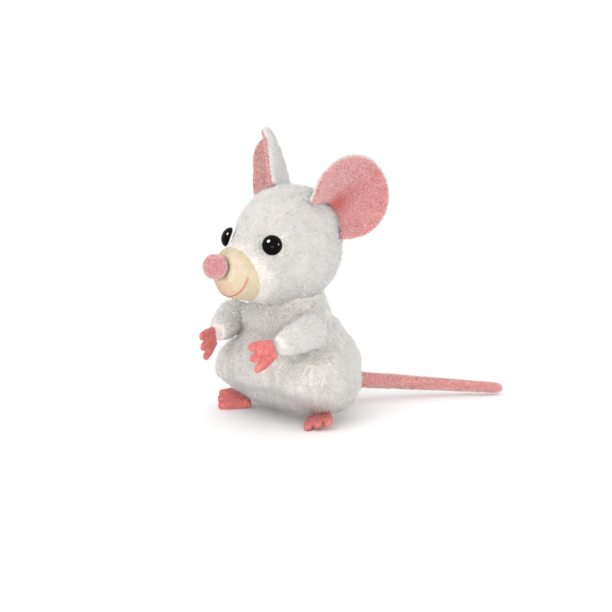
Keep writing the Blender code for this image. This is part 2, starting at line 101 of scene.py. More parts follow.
class Tint(Enum):
    """Thread, cloth and plastic colours as sRGB hex."""

    PLUSH_DEEP = "#e9e1d9"
    PLUSH = "#fbf7f3"
    PLUSH_LIGHT = "#ffffff"
    BACKING = "#f6f1ec"
    CREAM_DEEP = "#cbb98f"
    CREAM = "#d5c8ae"
    CREAM_LIGHT = "#e9dec6"
    BLUSH = "#f0a893"
    TERRY_DEEP = "#d97475"
    TERRY = "#fbb4b1"
    TERRY_LIGHT = "#ffe6e2"
    # Deeper pink painted into the ear lining's crease as shade.
    FOLD = "#e8746c"
    ROSE_DEEP = "#d4737a"
    ROSE = "#f9aeb0"
    ROSE_LIGHT = "#ffe2e0"
    FELT_DEEP = "#bf5450"
    FELT = "#d87773"
    FELT_LIGHT = "#ec9e98"
    SMILE = "#d37d74"
    THREAD = "#e2dbd2"
    EYE = "#010101"
    WASHER = "#dedbd4"
    BAG = "#c9c0ae"
    FIBRE = "#eceae6"


def linear(tint: Tint) -> tuple[float, float, float, float]:
    """Turns a hex colour into linear light.

    Args:
        tint: The colour to convert.

    Returns:
        Red, green, blue and alpha for a shader socket.
    """
    digits = tint.value.lstrip("#")
    channels = [int(digits[place:place + 2], 16) / 255 for place in (0, 2, 4)]
    light = [c / 12.92 if c <= 0.04045 else ((c + 0.055) / 1.055) ** 2.4 for c in channels]
    return (*light, 1.0)


def add_node(tree: bpy.types.NodeTree, kind: str, settings: dict | None = None,
             inputs: dict | None = None) -> bpy.types.Node:
    """Adds a node with its settings and links.

    Args:
        tree: Tree that gets the node.
        kind: Blender's name of the node type.
        settings: Node properties by name.
        inputs: Socket values, or sockets to link from, by name or number.

    Returns:
        The new node.
    """
    node = tree.nodes.new(kind)
    for key, value in (settings or {}).items():
        setattr(node, key, value)
    for key, value in (inputs or {}).items():
        if isinstance(value, bpy.types.NodeSocket):
            tree.links.new(value, node.inputs[key])
        else:
            node.inputs[key].default_value = value
    return node


def ramp(tree: bpy.types.NodeTree, factor: bpy.types.NodeSocket,
         stops: Sequence[tuple[float, Tint]]) -> bpy.types.NodeSocket:
    """Colour ramp through the given stops.

    Args:
        tree: Material tree.
        factor: Socket that picks the place on the ramp.
        stops: Places from 0 to 1 with their colours, in order.

    Returns:
        The ramp's colour socket.
    """
    node = add_node(tree, "ShaderNodeValToRGB", inputs={"Fac": factor})
    elements = node.color_ramp.elements
    while len(elements) < len(stops):
        elements.new(0.5)
    for element, (place, tint) in zip(elements, stops):
        element.position = place
        element.color = linear(tint)
    return node.outputs["Color"]


def new_material(name: str) -> tuple[bpy.types.Material, bpy.types.NodeTree, bpy.types.Node]:
    """Starts a material.

    Args:
        name: The real material's name.

    Returns:
        The material, its tree and its Principled BSDF.
    """
    material = bpy.data.materials.new(name)
    material.use_nodes = True
    tree = material.node_tree
    return material, tree, tree.nodes["Principled BSDF"]


def object_noise(tree: bpy.types.NodeTree, size_mm: float, detail: float = 2.0,
                 stretch: tuple[float, float, float] = (1, 1, 1)) -> bpy.types.NodeSocket:
    """Noise on Object coordinates at a real size.

    Args:
        tree: Material tree.
        size_mm: Width of one patch in millimetres.
        detail: Noise detail.
        stretch: How much finer the pattern is along each axis.

    Returns:
        The noise factor socket.
    """
    coordinates = add_node(tree, "ShaderNodeTexCoord")
    mapping = add_node(tree, "ShaderNodeMapping",
                       inputs={"Vector": coordinates.outputs["Object"], "Scale": stretch})
    pattern = add_node(tree, "ShaderNodeTexNoise",
                       inputs={"Vector": mapping.outputs["Vector"], "Scale": 1 / (size_mm * MM),
                               "Detail": detail, "Roughness": 0.6})
    return pattern.outputs["Fac"]


def attribute_value(tree: bpy.types.NodeTree, name: str) -> bpy.types.NodeSocket:
    """Value of one of the piece's own attributes."""
    return add_node(tree, "ShaderNodeAttribute", {"attribute_name": name}).outputs["Fac"]


@dataclass(frozen=True)
class PileFinish:
    """Dyed polyester pile: each strand has its own tone in soft patches, with painted shade that darkens it
    towards its root.
    """

    name: str
    deep: Tint
    main: Tint
    light: Tint
    patch_mm: float
    strand_share: float
    roughness: float = 0.75
    sheen: float = 0.25
    contrast: float = 0.33
    # Deeper tint for painted shade in a crease, or None for no painted shade.
    folded: Tint | None = None

    def build(self) -> bpy.types.Material:
        """Makes the strand material.

        Returns:
            A material that reads the strand's tone and its place between root and tip, and paints shade on the
            root.
        """
        material, tree, shader = new_material(self.name)
        patches = object_noise(tree, self.patch_mm)
        tone = attribute_value(tree, "tone")
        along = attribute_value(tree, "along")
        mixed = add_node(tree, "ShaderNodeMix", inputs={0: self.strand_share, 2: patches, 3: tone})
        # Painted shade: the ramp is pushed darker towards each strand's root and lighter towards its tip. This
        # stands in for the shade that the strands cast on each other.
        tone_and_root_shade = add_node(tree, "ShaderNodeMath", {"operation": "MULTIPLY_ADD"},
                          {0: along, 1: 0.3, 2: mixed.outputs[0]})
        colour = ramp(tree, tone_and_root_shade.outputs[0], 
                      [(0.56 - self.contrast, self.deep), (0.56, self.main), (0.56 + self.contrast, self.light)])
        # Painted shade: where the form's shade attribute is set, the colour is pulled towards a deeper tint.
        # This stands in for the shade inside the ear's crease.
        if self.folded is not None:
            depth = attribute_value(tree, "shade")
            deepened = add_node(tree, "ShaderNodeMix", {"data_type": "RGBA"},
                                {0: depth, 6: colour, 7: linear(self.folded)})
            colour = deepened.outputs[2]
        tree.links.new(colour, shader.inputs["Base Color"])
        shader.inputs["Roughness"].default_value = self.roughness
        shader.inputs["Sheen Weight"].default_value = self.sheen
        shader.inputs["Sheen Roughness"].default_value = 0.5
        shader.inputs["Specular IOR Level"].default_value = 0.2
        return material


@dataclass(frozen=True)
class BackingFinish:
    """Warp-knit polyester backing: fine loops in rows that show as a soft ribbed ground."""

    name: str
    deep: Tint
    main: Tint
    loop_mm: float = 0.6
    rows: float = 0.5

    def build(self) -> bpy.types.Material:
        """Makes the knitted ground.

        Returns:
            A matte cloth material with a knit bump.
        """
        material, tree, shader = new_material(self.name)
        coordinates = add_node(tree, "ShaderNodeTexCoord")
        rows = add_node(tree, "ShaderNodeTexWave", {"wave_type": "BANDS", "bands_direction": "Z"},
                        {"Vector": coordinates.outputs["Object"], "Scale": 1 / (20 * self.loop_mm * MM),
                         "Distortion": 2.5, "Detail": 2.0, "Detail Scale": 3.0})
        patches = object_noise(tree, 5.0)
        mixed = add_node(tree, "ShaderNodeMix", inputs={0: 1 - self.rows, 2: rows.outputs["Fac"], 3: patches})
        colour = ramp(tree, mixed.outputs[0], [(0.2, self.deep), (0.8, self.main)])
        bump = add_node(tree, "ShaderNodeBump",
                        inputs={"Height": rows.outputs["Fac"], "Strength": 0.4, "Distance": 0.2 * MM})
        tree.links.new(colour, shader.inputs["Base Color"])
        tree.links.new(bump.outputs["Normal"], shader.inputs["Normal"])
        shader.inputs["Roughness"].default_value = 0.92
        return material


@dataclass(frozen=True)
class FeltFinish:
    """Pressed wool felt: tangled short fibres give a mottled matte face."""

    name: str
    deep: Tint
    main: Tint
    light: Tint
    fibre_mm: float = 0.5

    def build(self) -> bpy.types.Material:
        """Makes the felt.

        Returns:
            A mottled matte material with a fibrous bump.
        """
        material, tree, shader = new_material(self.name)
        fibres = object_noise(tree, self.fibre_mm, 4.0)
        patches = object_noise(tree, self.fibre_mm * 5, 1.0)
        mixed = add_node(tree, "ShaderNodeMix", inputs={0: 0.35, 2: fibres, 3: patches})
        colour = ramp(tree, mixed.outputs[0], [(0.36, self.deep), (0.52, self.main), (0.68, self.light)])
        bump = add_node(tree, "ShaderNodeBump",
                        inputs={"Height": fibres, "Strength": 0.55, "Distance": 0.25 * MM})
        tree.links.new(colour, shader.inputs["Base Color"])
        tree.links.new(bump.outputs["Normal"], shader.inputs["Normal"])
        shader.inputs["Roughness"].default_value = 0.95
        shader.inputs["Sheen Weight"].default_value = 0.2
        return material


@dataclass(frozen=True)
class VelourFinish:
    """Sheared cotton velour: a very short dense nap with a faint blush rubbed in round the smile."""

    name: str
    deep: Tint
    main: Tint
    light: Tint
    blush: Tint
    blush_centre: tuple[float, float, float]
    blush_radius_mm: float

    def build(self) -> bpy.types.Material:
        """Makes the velour.

        Returns:
            A soft material that warms towards the blush's centre.
        """
        material, tree, shader = new_material(self.name)
        nap = object_noise(tree, 0.7, 3.0)
        patches = object_noise(tree, 4.5, 1.0)
        mixed = add_node(tree, "ShaderNodeMix", inputs={0: 0.4, 2: nap, 3: patches})
        colour = ramp(tree, mixed.outputs[0], [(0.34, self.deep), (0.52, self.main), (0.7, self.light)])
        coordinates = add_node(tree, "ShaderNodeTexCoord")
        reach = self.blush_radius_mm * MM
        centred = add_node(tree, "ShaderNodeMapping", inputs={
            "Vector": coordinates.outputs["Object"], "Scale": (1 / reach,) * 3,
            "Location": tuple(-place / reach for place in self.blush_centre)})
        glow = add_node(tree, "ShaderNodeTexGradient", {"gradient_type": "SPHERICAL"},
                        {"Vector": centred.outputs["Vector"]})
        amount = add_node(tree, "ShaderNodeMath", {"operation": "MULTIPLY"},
                          {0: glow.outputs["Fac"], 1: 0.75})
        warmed = add_node(tree, "ShaderNodeMix", {"data_type": "RGBA"},
                          {0: amount.outputs[0], 6: colour, 7: linear(self.blush)})
        tree.links.new(warmed.outputs[2], shader.inputs["Base Color"])
        shader.inputs["Roughness"].default_value = 0.9
        shader.inputs["Sheen Weight"].default_value = 0.3
        shader.inputs["Specular IOR Level"].default_value = 0.2
        return material


@dataclass(frozen=True)
class ThreadFinish:
    """Twisted polyester thread: slanting bands of painted light and shade stand in for its two-ply twist
    catching the light.
    """

    name: str
    tint: Tint
    deep: Tint
    ply_mm: float = 0.35

    def build(self) -> bpy.types.Material:
        """Makes the thread.

        Returns:
            A slightly glossy material with slanting ply bands.
        """
        material, tree, shader = new_material(self.name)
        coordinates = add_node(tree, "ShaderNodeTexCoord")
        ply_shade_bands = add_node(tree, "ShaderNodeTexWave", {"wave_type": "BANDS", "bands_direction": "DIAGONAL"},
                         {"Vector": coordinates.outputs["Object"], "Scale": 1 / (20 * self.ply_mm * MM)})
        # Painted light and shade: across slanting bands, the colour runs from a deep tint to the thread's own
        # tint. The bands stand in for the twist catching the light.
        colour = ramp(tree, ply_shade_bands.outputs["Fac"], [(0.1, self.deep), (0.6, self.tint)])
        tree.links.new(colour, shader.inputs["Base Color"])
        shader.inputs["Roughness"].default_value = 0.5
        return material


@dataclass(frozen=True)
class PlasticFinish:
    """Injection-moulded plastic: even colour, with faint flow marks in its polish."""

    name: str
    tint: Tint
    roughness: float
    coat: float
    ior: float = 1.5
    gloss: float = 0.5

    def build(self) -> bpy.types.Material:
        """Makes the plastic.

        Returns:
            A polished or satin material with a hardly uneven gloss.
        """
        material, tree, shader = new_material(self.name)
        marks = object_noise(tree, 3.0)
        gloss = add_node(tree, "ShaderNodeMath", {"operation": "MULTIPLY_ADD"},
                         {0: marks, 1: self.roughness, 2: self.roughness * 0.5})
        tree.links.new(gloss.outputs[0], shader.inputs["Roughness"])
        shader.inputs["Base Color"].default_value = linear(self.tint)
        shader.inputs["IOR"].default_value = self.ior
        shader.inputs["Specular IOR Level"].default_value = self.gloss
        shader.inputs["Coat Weight"].default_value = self.coat
        shader.inputs["Coat Roughness"].default_value = 0.02
        return material


@dataclass
class Finishes:
    """All finished materials of the mouse, made once."""

    plush: bpy.types.Material
    terry: bpy.types.Material
    rose: bpy.types.Material
    felt_fuzz: bpy.types.Material
    velour_nap: bpy.types.Material
    backing: bpy.types.Material
    terry_ground: bpy.types.Material
    rose_ground: bpy.types.Material
    felt: bpy.types.Material
    velour: bpy.types.Material
    smile_thread: bpy.types.Material
    seam_thread: bpy.types.Material
    eye: bpy.types.Material
    washer: bpy.types.Material
    bag: bpy.types.Material
    fibre: bpy.types.Material

    @classmethod
    def make(cls, smile_centre: Vector) -> Finishes:
        """Builds every material.

        Args:
            smile_centre: Middle of the blush on the muzzle, in metres.

        Returns:
            The set of materials.
        """
        blush = (smile_centre.x, smile_centre.y, smile_centre.z)
        return cls(
            plush=PileFinish("white_polyester_plush_pile", Tint.PLUSH_DEEP, Tint.PLUSH, Tint.PLUSH_LIGHT,
                             6.0, 0.55).build(),
            terry=PileFinish("pink_brushed_terry_pile", Tint.TERRY_DEEP, Tint.TERRY, Tint.TERRY_LIGHT,
                             0.7, 0.8, contrast=0.22, folded=Tint.FOLD).build(),
            rose=PileFinish("rose_brushed_terry_pile", Tint.ROSE_DEEP, Tint.ROSE, Tint.ROSE_LIGHT,
                            0.7, 0.8, contrast=0.22).build(),
            felt_fuzz=PileFinish("coral_felt_fuzz", Tint.FELT_DEEP, Tint.FELT, Tint.FELT_LIGHT,
                                 1.0, 0.5).build(),
            velour_nap=PileFinish("cream_velour_nap", Tint.CREAM_DEEP, Tint.CREAM, Tint.CREAM_LIGHT,
                                  3.0, 0.5).build(),
            backing=BackingFinish("white_warp_knit_backing", Tint.PLUSH_DEEP, Tint.BACKING).build(),
            terry_ground=BackingFinish("pink_terry_ground", Tint.TERRY_DEEP, Tint.TERRY, rows=0.0).build(),
            rose_ground=BackingFinish("rose_terry_ground", Tint.ROSE_DEEP, Tint.ROSE, rows=0.0).build(),
            felt=FeltFinish("coral_wool_felt", Tint.FELT_DEEP, Tint.FELT, Tint.FELT_LIGHT).build(),
            velour=VelourFinish("cream_cotton_velour", Tint.CREAM_DEEP, Tint.CREAM, Tint.CREAM_LIGHT,
                                Tint.BLUSH, blush, 9.0).build(),
            smile_thread=ThreadFinish("red_embroidery_thread", Tint.SMILE, Tint.TERRY_DEEP).build(),
            seam_thread=ThreadFinish("white_sewing_thread", Tint.THREAD, Tint.PLUSH_DEEP).build(),
            eye=PlasticFinish("black_polished_acrylic", Tint.EYE, 0.04, 0.0, 1.4, 0.1).build(),
            washer=PlasticFinish("natural_polyethylene", Tint.WASHER, 0.4, 0.0).build(),
            bag=BackingFinish("cotton_pellet_bag", Tint.CREAM_DEEP, Tint.BAG, 0.8).build(),
            fibre=FeltFinish("polyester_fibre_filling", Tint.PLUSH_DEEP, Tint.FIBRE, Tint.PLUSH_LIGHT,
                             1.5).build(),
        )


def link_object(name: str, mesh: bpy.types.Mesh) -> bpy.types.Object:
    """Adds a mesh object at the origin."""
    item = bpy.data.objects.new(name, mesh)
    bpy.context.collection.objects.link(item)
    return item


def evaluated_mesh(item: bpy.types.Object) -> bpy.types.Mesh:
    """Plain mesh of an object with its modifiers applied."""
    graph = bpy.context.evaluated_depsgraph_get()
    return bpy.data.meshes.new_from_object(item.evaluated_get(graph), depsgraph=graph)


def apply_modifiers(item: bpy.types.Object) -> None:
    """Applies every modifier of an object to its mesh."""
    mesh = evaluated_mesh(item)
    item.modifiers.clear()
    item.data = mesh


def node_points(*nodes: str) -> np.ndarray:
    """All vertex places of some CAD nodes, in metres."""
    found = [np.array([vert.co for vert in bpy.data.objects[node].data.vertices]) for node in nodes]
    return np.vstack(found)


@lru_cache(maxsize=None)
def box_of(node: str) -> tuple[Vector, Vector]:
    """Lowest and highest corner of a CAD node."""
    low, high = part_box(node)
    return Vector(low), Vector(high)


def box_centre(node: str) -> Vector:
    """Middle of a CAD node's box."""
    low, high = box_of(node)
    return (low + high) / 2


def keep_largest(bm: bmesh.types.BMesh) -> None:
    """Deletes every loose island but the one with the most vertices."""
    bm.verts.ensure_lookup_table()
    unseen = set(bm.verts)
    islands = []
    while unseen:
        island = {unseen.pop()}
        front = list(island)
        while front:
            vert = front.pop()
            near = [edge.other_vert(vert) for edge in vert.link_edges]
            fresh = [other for other in near if other in unseen]
            unseen.difference_update(fresh)
            island.update(fresh)
            front.extend(fresh)
        islands.append(island)
    largest = max(islands, key=len)
    stray = [vert for vert in bm.verts if vert not in largest]
    bmesh.ops.delete(bm, geom=stray, context="VERTS")


def relax(mesh: bpy.types.Mesh, steps: int) -> None:
    """Smooths a mesh without letting it shrink: each step inwards is followed by one outwards.

    Args:
        mesh: Mesh to smooth, changed in place.
        steps: Rounds of smoothing.
    """
    places = np.array([vert.co for vert in mesh.vertices])
    ends = np.array([edge.vertices for edge in mesh.edges])
    count = np.bincount(ends.ravel(), minlength=len(places))[:, None]
    for _ in range(steps):
        for share in (0.6, -0.62):
            total = np.zeros_like(places)
            np.add.at(total, ends[:, 0], places[ends[:, 1]])
            np.add.at(total, ends[:, 1], places[ends[:, 0]])
            places += share * (total / np.maximum(count, 1) - places)
    mesh.vertices.foreach_set("co", places.ravel())
    mesh.update()


def remeshed(name: str, bm: bmesh.types.BMesh, voxel_mm: float) -> bpy.types.Object:
    """Outer skin of some closed solids as one island of even cells.

    Args:
        name: Name of the new object.
        bm: The solids, freed afterwards.
        voxel_mm: Cell size.

    Returns:
        The new object.
    """
    bmesh.ops.remove_doubles(bm, verts=bm.verts, dist=0.01 * MM)
    mesh = bpy.data.meshes.new(name)
    bm.to_mesh(mesh)
    bm.free()
    form = link_object(name, mesh)
    remesh = form.modifiers.new("cells", "REMESH")
    remesh.mode = "VOXEL"
    remesh.voxel_size = voxel_mm * MM
    apply_modifiers(form)
    outer = bmesh.new()
    outer.from_mesh(form.data)
    keep_largest(outer)
    outer.to_mesh(form.data)
    outer.free()
    return form


def outer_hull(*nodes: str) -> bmesh.types.BMesh:
    """Closed convex solid round some CAD nodes, which a tightly stuffed cover pulls itself into.

    Args:
        nodes: CAD nodes that the solid encloses.

    Returns:
        The new solid.
    """
    bm = bmesh.new()
    for point in node_points(*nodes):
        bm.verts.new(point)
    result = bmesh.ops.convex_hull(bm, input=bm.verts, use_existing_faces=False)
    spare = set(result["geom_interior"]) | set(result["geom_unused"])
    bmesh.ops.delete(bm, geom=[item for item in spare if isinstance(item, bmesh.types.BMVert)], context="VERTS")
    return bm


def stuffed_form(name: str, groups: Iterable[Iterable[str]], voxel_mm: float, smooth_steps: int,
                 inset_mm: float = 0.0, extra: Callable[[bmesh.types.BMesh], None] | None = None,
                 rounded: bool = False) -> bpy.types.Object:
    """One closed soft form that fills the space of some CAD nodes.

    Args:
        name: Name of the new piece.
        groups: CAD nodes, in groups of solids that lie inside or against each other.
        voxel_mm: Cell size of the remesh.
        smooth_steps: Rounds of smoothing.
        inset_mm: How far the form stands inside the CAD solids, to leave room for pile.
        extra: Adds further closed solids that join the form.
        rounded: Whether each group is filled out to its convex hull first.

    Returns:
        The new object, at the origin.
    """
    joined = bmesh.new()
    for nodes in groups:
        bm = outer_hull(*nodes) if rounded else bmesh.new()
        for node in () if rounded else nodes:
            bm.from_mesh(bpy.data.objects[node].data)
        solid = remeshed(name, bm, voxel_mm)
        joined.from_mesh(solid.data)
        bpy.data.objects.remove(solid)
    if extra is not None:
        extra(joined)
    form = remeshed(name, joined, voxel_mm)
    relax(form.data, smooth_steps)
    bm = bmesh.new()
    bm.from_mesh(form.data)
    bm.normal_update()
    for vert in bm.verts:
        vert.co -= vert.normal * inset_mm * MM
    bm.to_mesh(form.data)
    bm.free()
    form.data.materials.clear()
    form.data.shade_smooth()
    return form


def reshape(form: bpy.types.Object, move: Field) -> None:
    """Moves each vertex of a form by a field of offsets in metres."""
    for vert in form.data.vertices:
        vert.co = vert.co + move(vert.co)
    form.data.update()


def puff(form: bpy.types.Object, seam: Weight, pressure: float, cap_mm: float) -> None:
    """Swells a form with a short cloth simulation, held in along its seams.

    Args:
        form: Closed form, changed in place.
        seam: How firmly a place is held by a seam, 0 to 1.
        pressure: Pressure of the stuffing.
        cap_mm: Furthest that a place may move.
    """
    rest = np.array([vert.co for vert in form.data.vertices])
    held = form.vertex_groups.new(name="seams")
    for vert in form.data.vertices:
        held.add([vert.index], seam(vert.co), "REPLACE")
    cloth = form.modifiers.new("stuffing", "CLOTH")
    cloth.settings.use_pressure = True
    cloth.settings.uniform_pressure_force = pressure
    cloth.settings.mass = 0.1
    cloth.settings.effector_weights.gravity = 0
    cloth.settings.vertex_group_mass = held.name
    cloth.point_cache.frame_start = 1
    cloth.point_cache.frame_end = 20
    for frame in range(1, 21):
        bpy.context.scene.frame_set(frame)
    swollen = evaluated_mesh(form)
    moved = np.array([vert.co for vert in swollen.vertices]) - rest
    length = np.linalg.norm(moved, axis=1, keepdims=True)
    moved *= np.minimum(1.0, cap_mm * MM / np.maximum(length, 1e-9))
    form.modifiers.clear()
    form.vertex_groups.clear()
    for vert, place in zip(form.data.vertices, rest + moved):
        vert.co = place
    form.data.update()
    bpy.data.meshes.remove(swollen)
    bpy.context.scene.frame_set(1)
    LOG.info("%s swelled by up to %.2f mm", form.name, float(length.max()) / MM)


def fade(distance_mm: float, near_mm: float, far_mm: float) -> float:
    """Smooth step: 0 up to the near distance and 1 past the far one."""
    share = min(1.0, max(0.0, (distance_mm - near_mm) / (far_mm - near_mm)))
    return share * share * (3 - 2 * share)


def swirl(place: Vector, patch_mm: float, seed: float) -> Vector:
    """Smooth unit-sized wander that changes over the given patch size."""
    return noise.noise_vector(place / (patch_mm * MM) + Vector((seed, 0, 0)))


def no_shade(_place: Vector) -> float:
    """No painted shade anywhere."""
    return 0.0


@dataclass(frozen=True)
class Brushing:
    """How the pile of a form lies: stray swirls, tufts that stand higher, and their sizes."""

    wander: float = 0.35
    patch_mm: float = 7.0
    tufts: float = 0.25
    tuft_mm: float = 3.0
    stretch: float = 1.0

    def tuft(self, place: Vector) -> float:
        """Share by which the pile is longer or shorter here."""
        drawn = Vector((place.x, place.y, place.z * self.stretch)) / (self.tuft_mm * MM)
        return 1.0 + self.tufts * 2.0 * noise.noise(drawn)


def comb(form: bpy.types.Object, flow: Field, pile: Weight, brushing: Brushing = Brushing(),
         shade: Weight = no_shade) -> None:
    """Writes on a form which way its pile lies, how long it is and how much painted shade deepens its colour.

    Args:
        form: The form to comb.
        flow: Direction in which the pile is brushed.
        pile: Share of the full pile length, 0 where there is none.
        brushing: Swirls and tufts.
        shade: Share of painted shade by which the colour is deepened.
    """
    mesh = form.data
    directions = []
    lengths = []
    depths = []
    for vert in mesh.vertices:
        way = flow(vert.co).normalized() + swirl(vert.co, brushing.patch_mm, 3.7) * brushing.wander
        way = way - vert.normal * way.dot(vert.normal)
        directions.extend(way.normalized() if way.length > 1e-6 else vert.normal.orthogonal())
        lengths.append(pile(vert.co) * brushing.tuft(vert.co))
        depths.append(shade(vert.co))
    mesh.attributes.new("comb", "FLOAT_VECTOR", "POINT").data.foreach_set("vector", directions)
    mesh.attributes.new("pile", "FLOAT", "POINT").data.foreach_set("value", lengths)
    mesh.attributes.new("shade", "FLOAT", "POINT").data.foreach_set("value", depths)


@dataclass(frozen=True)
class PileSpec:
    """Pile on a form: strands per square millimetre, and their sizes and lie."""

    density: float
    length_mm: float
    width_mm: float
    lean: float
    mess: float
    variation: float = 0.35
    seed: int = 1


class PileTree:
    """Geometry Nodes tree that plants tapered strands on a combed form."""

    NAMES = ("Density", "Length", "Width", "Lean", "Mess", "Variation")

    def __init__(self, material: bpy.types.Material) -> None:
        """Builds the tree for one strand material."""
        self.tree = bpy.data.node_groups.new(f"pile_of_{material.name}", "GeometryNodeTree")
        self.sockets: dict[str, str] = {}
        self._build(material)

    def _socket(self, name: str, kind: str) -> None:
        """Adds a named input and remembers its identifier."""
        item = self.tree.interface.new_socket(name, in_out="INPUT", socket_type=kind)
        self.sockets[name] = item.identifier

    def _build(self, material: bpy.types.Material) -> None:
        """Lays out the nodes.

        Args:
            material: Material of the strands.
        """
        tree = self.tree
        tree.interface.new_socket("Geometry", in_out="INPUT", socket_type="NodeSocketGeometry")
        tree.interface.new_socket("Geometry", in_out="OUTPUT", socket_type="NodeSocketGeometry")
        for name in self.NAMES:
            self._socket(name, "NodeSocketFloat")
        self._socket("Seed", "NodeSocketInt")
        entry = add_node(tree, "NodeGroupInput").outputs
        pile = add_node(tree, "GeometryNodeInputNamedAttribute", {"data_type": "FLOAT"},
                        {"Name": "pile"}).outputs["Attribute"]
        way = add_node(tree, "GeometryNodeInputNamedAttribute", {"data_type": "FLOAT_VECTOR"},
                       {"Name": "comb"}).outputs["Attribute"]
        grows = add_node(tree, "FunctionNodeCompare", {"operation": "GREATER_THAN"}, {0: pile, 1: 0.05})
        planted = add_node(tree, "GeometryNodeDistributePointsOnFaces",
                           inputs={"Mesh": entry["Geometry"], "Selection": grows.outputs[0],
                                   "Density": entry["Density"], "Seed": entry["Seed"]})
        stray = add_node(tree, "FunctionNodeRandomValue", {"data_type": "FLOAT_VECTOR"},
                         {0: (-1, -1, -1), 1: (1, 1, 1), "Seed": entry["Seed"]})
        brushed = self._scaled(way, entry["Lean"])
        strayed = self._scaled(stray.outputs[0], entry["Mess"])
        upright = add_node(tree, "ShaderNodeMath", {"operation": "SUBTRACT"}, {0: 1.0, 1: entry["Lean"]})
        risen = self._scaled(planted.outputs["Normal"], upright.outputs[0])
        first = add_node(tree, "ShaderNodeVectorMath", {"operation": "ADD"}, {0: brushed, 1: strayed})
        aim = add_node(tree, "ShaderNodeVectorMath", {"operation": "ADD"}, {0: first.outputs[0], 1: risen})
        turn = add_node(tree, "FunctionNodeAlignRotationToVector", {"axis": "Z"},
                        {"Vector": aim.outputs[0]})
        shortest = add_node(tree, "ShaderNodeMath", {"operation": "SUBTRACT"},
                            {0: 1.0, 1: entry["Variation"]})
        share = add_node(tree, "FunctionNodeRandomValue", {"data_type": "FLOAT"},
                         {2: shortest.outputs[0], 3: 1.0, "Seed": entry["Seed"]})
        height = add_node(tree, "ShaderNodeMath", {"operation": "MULTIPLY"}, {0: share.outputs[1], 1: pile})
        size = add_node(tree, "ShaderNodeCombineXYZ", inputs={"X": 1.0, "Y": 1.0, "Z": height.outputs[0]})
        strand = self._strand(entry)
        stood = add_node(tree, "GeometryNodeInstanceOnPoints",
                         inputs={"Points": planted.outputs["Points"], "Instance": strand,
                                 "Rotation": turn.outputs[0], "Scale": size.outputs[0]})
        tone = add_node(tree, "FunctionNodeRandomValue", {"data_type": "FLOAT"}, {2: 0.0, 3: 1.0, "Seed": 7})
        toned = add_node(tree, "GeometryNodeStoreNamedAttribute", {"data_type": "FLOAT", "domain": "INSTANCE"},
                         {"Geometry": stood.outputs[0], "Name": "tone", "Value": tone.outputs[1]})
        real = add_node(tree, "GeometryNodeRealizeInstances", inputs={"Geometry": toned.outputs[0]})
        smooth = add_node(tree, "GeometryNodeSetShadeSmooth", inputs={0: real.outputs[0]})
        dressed = add_node(tree, "GeometryNodeSetMaterial",
                           inputs={"Geometry": smooth.outputs[0], "Material": material})
        add_node(tree, "NodeGroupOutput", inputs={0: dressed.outputs[0]})

    def _scaled(self, vector: bpy.types.NodeSocket, factor: bpy.types.NodeSocket) -> bpy.types.NodeSocket:
        """Vector times a factor."""
        return add_node(self.tree, "ShaderNodeVectorMath", {"operation": "SCALE"},
                        {"Vector": vector, "Scale": factor}).outputs[0]

    def _strand(self, entry: bpy.types.NodeOutputs) -> bpy.types.NodeSocket:
        """One tapered strand that knows the place of its points between root and tip.

        Args:
            entry: The tree's inputs.

        Returns:
            The strand's geometry socket.
        """
        half = add_node(self.tree, "ShaderNodeMath", {"operation": "MULTIPLY"}, {0: entry["Width"], 1: 0.5})
        cone = add_node(self.tree, "GeometryNodeMeshCone", {"fill_type": "NGON"},
                        {"Vertices": 3, "Radius Top": 0.0, "Radius Bottom": half.outputs[0],
                         "Depth": entry["Length"]})
        place = add_node(self.tree, "GeometryNodeInputPosition")
        parts = add_node(self.tree, "ShaderNodeSeparateXYZ", inputs={0: place.outputs[0]})
        # The place between root and tip lets the strand materials paint shade on the root.
        along = add_node(self.tree, "ShaderNodeMath", {"operation": "DIVIDE"},
                         {0: parts.outputs["Z"], 1: entry["Length"]})
        marked = add_node(self.tree, "GeometryNodeStoreNamedAttribute",
                          {"data_type": "FLOAT", "domain": "POINT"},
                          {"Geometry": cone.outputs["Mesh"], "Name": "along", "Value": along.outputs[0]})
        return marked.outputs[0]

    def grow(self, form: bpy.types.Object, name: str, spec: PileSpec) -> bpy.types.Object:
        """Grows pile on a combed form.

        Args:
            form: Form with its comb and pile attributes.
            name: Name of the pile piece.
            spec: Density, sizes and lie.

        Returns:
            A plain mesh object that holds only the strands.
        """
        area_mm2 = sum(polygon.area for polygon in form.data.polygons) / SQUARE_MM
        density = min(spec.density, PIECE_TRIANGLES / SPIKE_TRIANGLES / area_mm2)
        host = link_object(name, form.data.copy())
        modifier = host.modifiers.new("pile", "NODES")
        modifier.node_group = self.tree
        values = (density / SQUARE_MM, spec.length_mm * MM, spec.width_mm * MM, spec.lean, spec.mess,
                  spec.variation)
        for label, value in zip(self.NAMES, values):
            modifier[self.sockets[label]] = float(value)
        modifier[self.sockets["Seed"]] = spec.seed
        apply_modifiers(host)
        LOG.info("%s has %d strands", name, len(host.data.polygons) // SPIKE_TRIANGLES)
        return host


